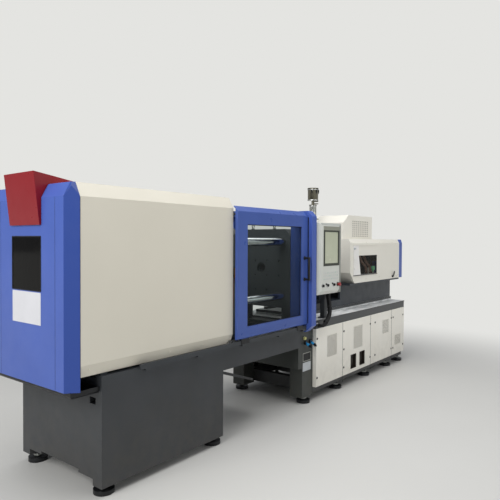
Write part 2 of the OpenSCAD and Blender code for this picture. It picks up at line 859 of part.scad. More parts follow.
// Nuts on the tie bars and the toothed ring that turns them for the mould height
module tie_nuts() {
    ring_d = 2 * tie_r * sqrt(2) - 150;
    color(steel) place() union() {
        four_corners(tie_r, tie_r) difference() {
            union() {
                rod_x(tail_back - 50, tail_back, 0, 0, tie_d + 62);
                rod_x(tail_back - nut_t, tail_back - 50, 0, 0, tie_d + 40);
            }
            rod_x(tail_back - nut_t - 1, tail_back + 1, 0, 0, tie_d + 2 * fit);
        }
        difference() {
            rod_x(tail_back - 40, tail_back, 0, axis_z, ring_d);
            rod_x(tail_back - 41, tail_back + 1, 0, axis_z, ring_d - 70);
            for (i = [0 : 5 : 355])
                translate([tail_back - 41, 0, axis_z])
                    rotate([i, 0, 0])
                        translate([0, ring_d / 2 - 8, -5])
                            cube([18, 10, 10]);
        }
    }
}
// Toothed belt round two pulleys of radius ra and rb, their centres c apart along Z
function belt_side(r, z, a0, a1) = [
    for (i = [0 : 10])
        let (a = a0 + (a1 - a0) * i / 10)
            [r * cos(a), z + r * sin(a)]
];
function belt_loop(ra, rb, c) =
    let (a = asin((ra - rb) / c))
        concat(belt_side(ra, 0, 180 - a, 360 + a), belt_side(rb, c, a, 180 - a));
module clamp_motor() {
    top = axis_z + platen_h / 2;
    motor_z = top + 110;
    x = pulley_x;
    color(dark) place() union() {
        // Bearing housing of the clamp screw and the seat of the motor
        difference() {
            union() {
                rod_x(tail_back - 110, tail_back, 0, axis_z, 170);
                rod_x(tail_back - 16, tail_back, 0, axis_z, 240);
            }
            rod_x(tail_back - 111, tail_back + 1, 0, axis_z, 52 + 2 * fit);
        }
        block(tail_back + 4, tail_front - 10, -90, 90, top, top + 25);
        // Servo motor with cooling fins
        difference() {
            block(tail_back - 90, tail_front - 30, -84, 84, top + 25, top + 192);
            for (z = [top + 44 : 24 : top + 180])
                for (sy = [-1, 1])
                    block(tail_back - 70, tail_front - 50, sy * 84 - 6, sy * 84 + 6, z, z + 9);
        }
        rod_x(x, tail_back - 90, 0, motor_z, 30);
        rod_x(x + 2, x + 38, 0, motor_z, 2 * motor_r);
        // Belt
        translate([x + 6, 0, axis_z])
            rotate([90, 0, 90])
                linear_extrude(28)
                    difference() {
                        polygon(belt_loop(screw_r + 9, motor_r + 7, motor_z - axis_z));
                        polygon(belt_loop(screw_r + 2, motor_r - 1, motor_z - axis_z));
                    }
    }
}
module clamp_screw() {
    color(steel) place() union() {
        rod_x(pulley_x, cross_x + 330, 0, axis_z, 52);
        difference() {
            rod_x(pulley_x, pulley_x + 40, 0, axis_z, 2 * screw_r);
            for (i = [0 : 45 : 315])
                translate([0, 62 * cos(i), axis_z + 62 * sin(i)])
                    rod_x(pulley_x - 1, pulley_x + 41, 0, 0, 26);
        }
    }
}
module crosshead() {
    h = cross_pin_z + 28;
    color(iron) place() difference() {
        union() {
            block(cross_x - 34, cross_x + 34, -70, 70, axis_z - 34, axis_z + 34);
            block(cross_x - 30, cross_x + 30, -34, 34, axis_z - h, axis_z + h);
            for (sz = [-1, 1])
                rod_y(cross_x, -cross_y - link_t + 4, cross_y + link_t - 4, axis_z + sz * cross_pin_z, 36);
            rod_x(cross_x + 34, cross_x + 62, 0, axis_z, 84);
        }
        rod_x(cross_x - 35, cross_x + 63, 0, axis_z, 52 + 2 * fit);
        for (sy = [-1, 1])
            rod_x(cross_x - 35, cross_x + 63, sy * 52, axis_z, 24 + 2 * fit);
    }
}
// Link plate with an eye at each end, drawn from the origin along +X
module link_plate(l, y, t, e0, e1) {
    rod_y(0, y, y + t, 0, e0);
    rod_y(l, y, y + t, 0, e1);
    along_y(y, y + t, [
        [0, -e0 * 0.36], [l * 0.5, -e0 * 0.30], [l, -e1 * 0.36],
        [l, e1 * 0.36], [l * 0.5, e0 * 0.30], [0, e0 * 0.36]
    ]);
}
module rear_link(sz) {
    translate([pin_rear_x, 0, axis_z + sz * toggle_h])
        rotate([0, sz * open_angle, 0]) {
            both_sides() {
                link_plate(link_l, -rear_link_y - link_t, link_t, eye_d, eye_d);
                rod_y(arm, -rear_link_y - link_t - 1, -rear_link_y, 0, 60);
            }
            rod_y(0, -front_link_y - link_t - slide_gap - 34, front_link_y + link_t + slide_gap + 34, 0, pin_d);
            rod_y(link_l, -rear_link_y, rear_link_y, 0, pin_d - 8);
        }
}
module front_link(sz) {
    translate([pin_front_x, 0, axis_z + sz * toggle_h])
        rotate([0, -sz * open_angle, 0])
            mirror([1, 0, 0]) {
                both_sides()
                    link_plate(link_l, -front_link_y - link_t, link_t, eye_d, eye_d);
                rod_y(0, -front_link_y - link_t - slide_gap - 34, front_link_y + link_t + slide_gap + 34, 0, pin_d);
            }
}
module cross_link(sz) {
    translate([cross_x, 0, axis_z + sz * cross_pin_z])
        rotate([0, -sz * cross_angle, 0])
            both_sides() difference() {
                link_plate(cross_l, -cross_y - link_t + 4, link_t - 4, 64, 56);
                rod_y(0, -cross_y - link_t, -cross_y + 1, 0, 36 + 2 * fit);
            }
}
module rear_link_upper() {
    color(iron) place() rear_link(1);
}
module rear_link_lower() {
    color(iron) place() rear_link(-1);
}
module front_link_upper() {
    color(iron) place() front_link(1);
}
module front_link_lower() {
    color(iron) place() front_link(-1);
}
module cross_link_upper() {
    color(steel) place() cross_link(1);
}
module cross_link_lower() {
    color(steel) place() cross_link(-1);
}
module moving_platen() {
    color(iron) place() union() {
        difference() {
            union() {
                platen_plate(moving_back, open_face, tie_d + 2 * fit);
                platen_feet(moving_back - 20, open_face - 10);
            }
            block(moving_back - 1, open_face - 70, -120, 120, axis_z - 120, axis_z + 120);
            rod_x(open_face - 30, open_face + 1, 0, axis_z, locating_d);
            for (sy = [-1, 1])
                rod_x(open_face - 71, open_face - 29, sy * ejector_y, axis_z, ejector_d + 2 * fit);
            mould_holes(open_face - 60, open_face + 1);
        }
        for (sz = [-1, 1])
            lugs(moving_back, pin_front_x, axis_z + sz * toggle_h);
        // Guide rods of the ejector plate
        for (sz = [-1, 1])
            rod_x(moving_back + 10, open_face - 70, 0, axis_z + sz * 90, 20);
    }
}
module ejector() {
    x0 = moving_back + 14;
    color(steel) place() difference() {
        union() {
            block(x0, x0 + 26, -100, 100, axis_z - 110, axis_z + 110);
            for (sy = [-1, 1])
                rod_x(x0 + 26, open_face - 34, sy * ejector_y, axis_z, ejector_d);
        }
        for (sz = [-1, 1])
            rod_x(x0 - 1, x0 + 27, 0, axis_z + sz * 90, 20 + 2 * fit);
    }
}

// Control panel on its stand
module panel_stand() {
    x0 = pivot_x - 28;
    color(dark) place() difference() {
        union() {
            block(x0, x0 + 56, -half_w + 15, -half_w + 65, bed_z, 1640);
            for (z = [1064, 1500]) {
                block(pivot_x - 22, pivot_x + 22, pivot_y, -half_w + 15, z, z + 26);
                rod_z(pivot_x, pivot_y, z, z + 26, 44);
                rod_z(pivot_x, pivot_y, z + 26, z + 62, 20);
            }
            block(x0 - 30, x0 + 86, -half_w + 5, -half_w + 75, bed_z, bed_z + 10);
        }
        rod_z(pivot_x, pivot_y, 1063, 1080, 31);
    }
}
module panel_housing() {
    x0 = panel_x;
    x1 = x0 + panel_w;
    y0 = panel_y;
    y1 = y0 + panel_t;
    z1 = panel_z + panel_h;
    cx = x0 + panel_w / 2;
    scr_z1 = z1 - 84;
    color(panel_grey) place() union() {
        difference() {
            intersection() {
                along_z(panel_z, z1, [
                    [x0, y0 + 26], [x0 + 40, y0], [x1 - 48, y0], [x1, y0 + 24], [x1, y1 - 12],
                    [x1 - 12, y1], [x0 + 12, y1], [x0, y1 - 12]
                ]);
                along_x(x0, x1, [
                    [y0, panel_z + 34], [y0, z1 - 18], [y0 + 18, z1], [y1, z1], [y1, panel_z + 10],
                    [y1 - 10, panel_z], [y0 + 24, panel_z]
                ]);
            }
            block(cx - screen_w / 2 - 26, cx + screen_w / 2 + 26, y0 - 1, y0 + 8, scr_z1 - screen_h - 24,
                scr_z1 + 54);
            for (x = selector_x)
                rod_y(x, y0 - 1, y0 + 20, control_z, 20);
            rod_y(stop_x, y0 - 1, y0 + 24, control_z, 22);
        }
        // Rings round the controls, key rows and hinge knuckles
        for (x = selector_x)
            difference() {
                rod_y(x, y0 - 3, y0, control_z, 34);
                rod_y(x, y0 - 4, y0 + 1, control_z, 20 + 2 * fit);
            }
        for (i = [0 : 7])
            for (j = [0 : 2])
                block(x0 + 78 + i * 36, x0 + 104 + i * 36, y0 - 1.5, y0, panel_z + 138 + j * 30,
                    panel_z + 156 + j * 30);
        for (z = [1092, 1528])
            difference() {
                union() {
                    rod_z(pivot_x, pivot_y, z, z + 30, 40);
                    block(pivot_x - 20, pivot_x + 20, y1, pivot_y, z, z + 30);
                }
                rod_z(pivot_x, pivot_y, z - 1, z + 31, 20 + 2 * fit);
            }
    }
}
module panel_screen() {
    cx = panel_x + panel_w / 2;
    y0 = panel_y;
    scr_z1 = panel_z + panel_h - 84;
    color(black) place() difference() {
        block(cx - screen_w / 2 - 26, cx + screen_w / 2 + 26, y0 - 3, y0 + 8, scr_z1 - screen_h - 24,
            scr_z1 + 54);
        block(cx - screen_w / 2, cx + screen_w / 2, y0 - 4, y0 + 1, scr_z1 - screen_h, scr_z1);
    }
    color([0.70, 0.71, 0.64]) place()
        block(cx - screen_w / 2, cx + screen_w / 2, y0 + 0.9, y0 + 1.4, scr_z1 - screen_h, scr_z1);
}
module stop_button() {
    color(red) place() union() {
        rod_y(stop_x, panel_y - stop_out, panel_y - stop_out + 14, control_z, stop_d);
        rod_y(stop_x, panel_y - stop_out + 14, panel_y + 16, control_z, 22 - 2 * fit);
    }
}
module selector(x) {
    translate([x, panel_y, control_z]) union() {
        rod_y(0, -9, 18, 0, 20 - 2 * fit);
        rotate([0, 35, 0])
            block(-4.5, 4.5, -20, -9, -11, 11);
        rod_y(0, -10, -8, 0, 26);
    }
}
module selector_a() {
    color(black) place() selector(selector_x[0]);
}
module selector_b() {
    color(black) place() selector(selector_x[1]);
}
module selector_c() {
    color(black) place() selector(selector_x[2]);
}
// Cable harness from the panel pivot down to the gland on the bed, swept along its route
function unit(v) = v / norm(v);
function tangent(p, i) = unit(p[min(i + 1, len(p) - 1)] - p[max(i - 1, 0)]);
function sweep_rings(p, r, n) = [
    for (i = [0 : len(p) - 1])
        let (t = tangent(p, i), u = unit(cross(t, [1, 0.2, 0])), v = cross(t, u))
            for (k = [0 : n - 1])
                p[i] + r * (cos(360 * k / n) * u + sin(360 * k / n) * v)
];
module sweep(p, r, n) {
    rings = len(p);
    polyhedron(
        points = sweep_rings(p, r, n),
        faces = concat(
            [[for (k = [0 : n - 1]) k]],
            [for (i = [0 : rings - 2]) for (k = [0 : n - 1])
                [i * n + k, (i + 1) * n + k, (i + 1) * n + (k + 1) % n, i * n + (k + 1) % n]],
            [[for (k = [n - 1 : -1 : 0]) (rings - 1) * n + k]]
        )
    );
}
module panel_harness() {
    color(black) place()
        sweep(harness_route, 15, 12);
}

// Injection unit
module purge_guard() {
    x0 = purge_x;
    x1 = x0 + purge_len;
    color(white) place() difference() {
        union() {
            along_x(x0, x1, [
                [-190, 1120], [-190, 1440], [-150, 1490], [190, 1490], [190, 1487], [-148, 1487],
                [-187, 1439], [-187, 1120]
            ]);
            rod_x(x0, x1, purge_y, purge_z, 14);
            block(x0, x1, purge_y - 9, purge_y, purge_z - 6, purge_z + 6);
        }
        rod_x(x0 - 1, x1 + 1, purge_y, purge_z, 8);
        block(x0 + 60, x1 - 60, -191, -186, 1200, 1400);
    }
}
module carriage() {
    x0 = 2950;
    x1 = inj_x + inj_len;
    skirt = riser_y + 3;
    color(dark) place() difference() {
        union() {
            block(x0, x1, -skirt, skirt, deck_z + 10, deck_z + 50);
            both_sides() {
                block(x0, x1, -skirt, -skirt + 22, riser_z + 3, deck_z + 10);
                block(x0 + 60, x0 + 180, -240, -180, deck_z - 12, deck_z + 10);
                block(x1 - 240, x1 - 120, -240, -180, deck_z - 12, deck_z + 10);
                block(inj_x, x1, -skirt, -skirt + 22, deck_z + 50, inj_low_z - 20);
            }
            block(inj_x, x1, -inj_w / 2 + 4, inj_w / 2 - 4, inj_low_z - 20, inj_low_z);
            // Feed housing that holds the barrel
            block(housing_x, inj_x - 30, -130, 130, deck_z + 50, axis_z + 170);
            block(housing_x + 30, inj_x - 60, -170, 170, deck_z + 50, axis_z - 60);
            // Back plate of the drive with its two motors, and the guide bars
            block(4300, 4360, -260, 260, inj_low_z, axis_z + 180);
            both_sides() {
                block(4360, 4620, -230, -90, axis_z + 10, axis_z + 150);
                rod_x(4620, 4700, -160, axis_z + 80, 110);
            }
            for (sy = [-1, 1])
                for (sz = [-1, 1])
                    rod_x(inj_x - 30, 4300, sy * 95, axis_z + sz * 110, 50);
        }
        both_sides()
            block(x0 + 59, x1 - 119, -230 - 0.3, -190 + 0.3, deck_z - 13, deck_z);
        rod_x(housing_x - 1, inj_x - 29, 0, axis_z, barrel_d - 20);
        rod_z((housing_x + inj_x - 30) / 2, 0, axis_z, axis_z + 171, 60);
        rod_x(4299, 4361, 0, axis_z, 120);
    }
    // Grease reservoir
    color([0.80, 0.80, 0.78]) place()
        block(x0 + 40, x0 + 190, 150, 260, deck_z + 50, deck_z + 220);
}
module barrel() {
    x1 = housing_x + 40;
    color(steel) place() difference() {
        union() {
            rod_x(2660, housing_x, 0, axis_z, barrel_d);
            rod_x(housing_x, x1, 0, axis_z, barrel_d - 20);
            translate([2600, 0, axis_z])
                rotate([0, 90, 0])
                    cylinder(h = 60, d1 = 64, d2 = barrel_d);
            rod_x(nozzle_x + 30, 2600, 0, axis_z, 46);
            translate([nozzle_x, 0, axis_z])
                rotate([0, 90, 0])
                    cylinder(h = 30, d1 = 24, d2 = 46);
        }
        rod_x(2640, x1 + 1, 0, axis_z, screw_d + 2 * fit);
        rod_x(nozzle_x - 1, 2641, 0, axis_z, 6);
    }
}
module heater_bands() {
    color([0.66, 0.64, 0.60]) place() for (i = [0 : 4])
        difference() {
            union() {
                rod_x(2690 + i * 118, 2780 + i * 118, 0, axis_z, barrel_d + 34);
                block(2720 + i * 118, 2750 + i * 118, -barrel_d / 2 - 44, -barrel_d / 2 - 10,
                    axis_z - 14, axis_z + 14);
            }
            rod_x(2689 + i * 118, 2781 + i * 118, 0, axis_z, barrel_d);
        }
}
module feed_hopper() {
    x = (housing_x + inj_x - 30) / 2;
    z0 = axis_z + 170;
    color(steel) place() difference() {
        union() {
            block(x - 70, x + 70, -70, 70, z0, z0 + 16);
            rod_z(x, 0, z0 + 16, 1790, 84);
            rod_z(x, 0, 1790, 1804, 130);
            rod_z(x, 0, 1804, 1950, 76);
        }
        rod_z(x, 0, z0 - 1, 1951, 60);
        for (sx = [-1, 1])
            for (sy = [-1, 1])
                rod_z(x + sx * 56, sy * 56, z0 - 1, z0 + 17, 9);
    }
    // Lid, neck with its two air valves, and the canister of the vacuum loader
    color(dark) place() union() {
        rod_z(x, 0, 1950, 1960, 84);
        rod_z(x, 0, 1960, 2013, 32);
        for (z = [1972, 1998])
            translate([x, 0, z])
                rotate([0, 90, -40])
                    cylinder(h = 62, d = 12);
        rod_z(x, 0, 2013, 2130, 116);
        rod_z(x, 0, 2130, 2146, 122);
    }
}
// Injection cover with the raised housing and the rear cap
module cover_shape(t) {
    x0 = inj_x + t;
    x1 = inj_x + inj_len;
    w = inj_w / 2 - t;
    top = inj_top_z - t;
    kb = bevel_share(24, inj_bevel, t);
    intersection() {
        along_x(x0, x1 + t, [
            [-w, inj_low_z - t], [-w, top - inj_bevel * kb], [-w + 24 * kb, top], [w - 24 * kb, top],
            [w, top - inj_bevel * kb], [w, inj_low_z - t]
        ]);
        // The front edge slants inwards at its foot
        along_y(-w, w, [
            [x0, inj_low_z + 120], [x0, top], [x1 + t, top], [x1 + t, inj_low_z - t],
            [x0 + 100 + t * 0.8, inj_low_z - t]
        ]);
    }
}
module box_shape(t) {
    x0 = inj_x + 30 + t;
    x1 = inj_x + 30 + box_len - t;
    top = inj_top_z + box_h - t;
    along_y(-box_w / 2 + t, box_w / 2 - t, [
        [x0, inj_top_z - t], [x0, top - 88], [x0 + 126, top], [x1, top], [x1, inj_top_z - t]
    ]);
}
module injection_cover() {
    w = inj_w / 2;
    bw = box_w / 2;
    grille_x = inj_x + 250;
    grille_z = inj_top_z + 28;
    color(white) place() difference() {
        union() {
            difference() {
                cover_shape(0);
                cover_shape(sheet);
            }
            difference() {
                box_shape(0);
                box_shape(sheet);
            }
        }
        // Window with a slanted front edge, opening for the barrel, and the grille
        along_y(-w - 1, -w + sheet + 1, [
            [win_x + 48, win_z0], [win_x, win_z1], [win_x + win_w, win_z1], [win_x + win_w, win_z0]
        ]);
        block(inj_x - 1, inj_x + 130, -200, 200, inj_low_z - 1, axis_z + 200);
        for (i = [0 : 8])
            for (j = [0 : 7])
                for (sy = [-1, 1])
                    translate([grille_x + i * 47, sy * bw - sheet - 1, grille_z + j * 24])
                        cube([cell_w, 2 * sheet + 2, cell_h]);
    }
    // Guide rails of the sliding panel
    color(dark) place() for (z = [win_z0 - 10, win_z1 + 116])
        block(win_x - 132, win_x + win_w + 6, -w - 6, -w, z, z + 6);
}
// Blue cap over the drive end
module cap_shape(t) {
    x1 = inj_x + inj_len;
    w = inj_w / 2 - t;
    top = inj_top_z - t;
    kc = bevel_share(60, 70, t);
    kb = bevel_share(24, inj_bevel, t);
    end = x1 + cap_len - t;
    intersection() {
        along_z(inj_low_z - t, top, [
            [x1 - t, -w], [end - 60 * kc, -w], [end, -w + 70 * kc], [end, w - 70 * kc],
            [end - 60 * kc, w], [x1 - t, w]
        ]);
        along_x(x1 - t, end, [
            [-w, inj_low_z - t], [-w, top - inj_bevel * kb], [-w + 24 * kb, top], [w - 24 * kb, top],
            [w, top - inj_bevel * kb], [w, inj_low_z - t]
        ]);
        along_y(-w, w, [
            [x1 - t, inj_low_z - t], [end, inj_low_z - t], [end, top - inj_bevel * kb], [end - 24 * kb, top],
            [x1 - t, top]
        ]);
    }
}
module rear_cap() {
    color(blue) place() difference() {
        cap_shape(0);
        cap_shape(sheet);
    }
}
module injection_glass() {
    w = inj_w / 2;
    color(glass) place() block(win_x - 16, win_x + win_w + 16, -w + sheet, -w + sheet + 4, win_z0 - 16, win_z1 + 16);
}
// Panel that slides over the window
module service_panel() {
    y = -inj_w / 2 - 0.5;
    color(white) place() union() {
        along_y(y - 4, y, [
            [win_x - 128, win_z0 - 3], [win_x - 128, win_z1 + 115], [win_x - 2, win_z1 + 115],
            [win_x - 2, win_z1], [win_x + 46, win_z0 - 3]
        ]);
        block(win_x - 116, win_x - 104, y - 12, y - 4, win_z0 + 60, win_z0 + 180);
    }
}
module latch() {
    w = inj_w / 2;
    x = inj_x + inj_len - 220;
    color(black) place() union() {
        rod_y(x, -w - 14, -w, 1112, 26);
        translate([x, -w - 14, 1112])
            rotate([0, -60, 0])
                block(0, 70, -8, 0, -8, 8);
    }
}
module screw_drive() {
    x0 = 3900;
    color(iron) place() difference() {
        block(x0, x0 + 90, -190, 190, axis_z - 170, axis_z + 170);
        for (sy = [-1, 1])
            for (sz = [-1, 1])
                rod_x(x0 - 1, x0 + 91, sy * 95, axis_z + sz * 110, 50 + 2 * fit);
        rod_x(x0 - 1, x0 + 60, 0, axis_z, 70 + 2 * fit);
    }
}
module plasticising_screw() {
    x0 = 2660;
    color(steel) place() union() {
        rod_x(3300, 3901, 0, axis_z, screw_d);
        rod_x(x0, 3300, 0, axis_z, screw_d * 0.66);
        for (i = [0 : 14])
            rod_x(x0 + 20 + i * 42, x0 + 28 + i * 42, 0, axis_z, screw_d);
        rod_x(3900, 3960, 0, axis_z, 70);
    }
}

clamp_bed();
injection_bed();
bed_plate();
levelling_feet();
drip_tray();
platen_base();
couplings();
base_cover_a();
base_cover_b();
base_cover_c();
base_cover_d();
base_rear_covers();
power_sockets();
end_cover();
end_window();
end_hood();
side_covers();
roof_cover();
guard_frame();
corner_posts();
platen_covers();
fixed_platen();
tie_bars();
tail_platen();
tie_nuts();
clamp_motor();
clamp_screw();
crosshead();
cross_link_upper();
cross_link_lower();
rear_link_upper();
rear_link_lower();
front_link_upper();
front_link_lower();
moving_platen();
ejector();
front_door();
front_glass();
rear_door();
rear_glass();
panel_stand();
panel_harness();
panel_housing();
panel_screen();
stop_button();
selector_a();
selector_b();
selector_c();
purge_guard();
carriage();
barrel();
heater_bands();
feed_hopper();
injection_cover();
rear_cap();
injection_glass();
service_panel();
latch();
screw_drive();
plasticising_screw();
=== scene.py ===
"""Looks of a horizontal injection moulding machine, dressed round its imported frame.

The frame holds every solid at its real size. This file gives each of them its finish and adds
what the eye looks for next: gaskets, locks, screw heads, heater leads, keys and liners.
Sizes are machine millimetres: X from the clamp end, Y from the middle plane, Z from the floor.
"""

import logging
import math
from collections.abc import Iterable, Sequence
from dataclasses import dataclass
from enum import Enum

import bmesh
import bpy
from mathutils import Matrix, Vector


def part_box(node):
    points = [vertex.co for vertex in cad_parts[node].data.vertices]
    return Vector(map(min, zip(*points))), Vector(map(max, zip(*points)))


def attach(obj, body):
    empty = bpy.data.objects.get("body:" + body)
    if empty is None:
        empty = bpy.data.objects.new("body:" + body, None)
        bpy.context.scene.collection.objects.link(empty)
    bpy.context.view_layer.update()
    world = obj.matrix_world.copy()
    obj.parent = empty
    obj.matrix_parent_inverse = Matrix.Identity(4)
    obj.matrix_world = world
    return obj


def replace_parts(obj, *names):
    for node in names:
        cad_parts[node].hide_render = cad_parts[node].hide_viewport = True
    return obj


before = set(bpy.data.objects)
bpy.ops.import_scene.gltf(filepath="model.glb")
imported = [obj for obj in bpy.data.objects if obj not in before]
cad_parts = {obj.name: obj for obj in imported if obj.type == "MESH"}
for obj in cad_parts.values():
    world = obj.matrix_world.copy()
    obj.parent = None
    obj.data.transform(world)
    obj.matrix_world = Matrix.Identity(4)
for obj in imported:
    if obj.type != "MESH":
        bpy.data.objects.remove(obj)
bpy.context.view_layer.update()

LOG = logging.getLogger("moulding_machine")
Point = tuple[float, float, float]
Flat = tuple[float, float]
Box = tuple[float, float, float, float]
Colour = Box
Row = tuple[float, ...]
# Two opposite corners
Block = tuple[Point, Point]
Tree = bpy.types.NodeTree
Socket = bpy.types.NodeSocket
Node = bpy.types.Node

# The part's origin in machine millimetres
ORIGIN: Point = (2470.0, -10.5, 0.0)
# Outer face of the side covers, and height of the barrel
HALF_WIDTH = 465.0
AXIS_Z = 1290.0
# Faces that meet at more than this angle keep their edge, which the bevel rounds in so many steps
EDGE_ANGLE = math.radians(38)
EDGE_STEPS = 2
ARC_STEPS = 4
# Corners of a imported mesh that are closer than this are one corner, in metres
WELD_M = 0.00002
# Wavelengths in mm of dirt streaks, edge chips of wear and painted highlight, polished patches, sheet waves
STREAK_MM, CHIP_MM, PATCH_MM, WAVE_MM = 60.0, 35.0, 90.0, 420.0
SOIL_COLOUR = "#6E6759"
# Reach of edge wear and painted highlight in metres, and the cosines of the turned normal that show it
WEAR_AND_HIGHLIGHT_M = 0.004
WEAR_AND_HIGHLIGHT_COSINES: Flat = (0.995, 0.9)
COAT_ROUGHNESS = 0.12
METAL_SPECULAR = 0.5


class Axis(Enum):
    """Direction that a form is drawn out or turned along."""

    X = 0
    Y = 1
    Z = 2


def linear(code: str, alpha: float = 1.0) -> Colour:
    """Turns an sRGB hex colour to linear values.

    Args:
        code: Colour such as "#4A63B8".
        alpha: Opacity that is passed on.

    Returns:
        Linear red, green, blue and alpha.
    """
    shares = (int(code[i : i + 2], 16) / 255 for i in (1, 3, 5))
    red, green, blue = (s / 12.92 if s <= 0.04045 else ((s + 0.055) / 1.055) ** 2.4 for s in shares)
    return (red, green, blue, alpha)


def metres(point: Iterable[float]) -> Vector:
    """Turns a point in machine millimetres to the frame's metres."""
    return Vector([(value - start) / 1000 for value, start in zip(point, ORIGIN)])


def add_node(
    tree: Tree,
    kind: str,
    sockets: dict[str | int, object] | None = None,
    **settings: object,
) -> Node:
    """Adds one shader node with its settings and links.

    Args:
        tree: Node tree that takes the node.
        kind: Blender's name of the node type, without ShaderNode in front.
        sockets: Value or linked output socket for each named input.
        settings: Properties of the node itself.

    Returns:
        The new node.
    """
    made = tree.nodes.new("ShaderNode" + kind)
    for key, value in settings.items():
        setattr(made, key, value)
    for key, value in (sockets or {}).items():
        if isinstance(value, Socket):
            tree.links.new(value, made.inputs[key])
        else:
            made.inputs[key].default_value = value
    return made


def empty_tree(owner: bpy.types.Material | bpy.types.World) -> Tree:
    """Switches a material or a world to nodes and clears its tree.

    Args:
        owner: Material or world.

    Returns:
        The empty node tree.
    """
    owner.use_nodes = True
    owner.node_tree.nodes.clear()
    return owner.node_tree


def add_object(name: str, data: bpy.types.ID) -> bpy.types.Object:
    """Adds an object with its data to the scene.

    Args:
        name: Name of the object.
        data: Mesh, lamp or camera.

    Returns:
        The new object.
    """
    made = bpy.data.objects.new(name, data)
    bpy.context.scene.collection.objects.link(made)
    return made


def round_edges(made: bpy.types.Object, width_mm: float) -> None:
    """Rounds the sharp edges of an object.

    Args:
        made: Object whose edges are rounded.
        width_mm: Width of the rounding in millimetres.
    """
    edge = made.modifiers.new("edge", "BEVEL")
    edge.width, edge.segments = width_mm / 1000, EDGE_STEPS
    edge.limit_method, edge.angle_limit = "ANGLE", EDGE_ANGLE
    edge.harden_normals = True


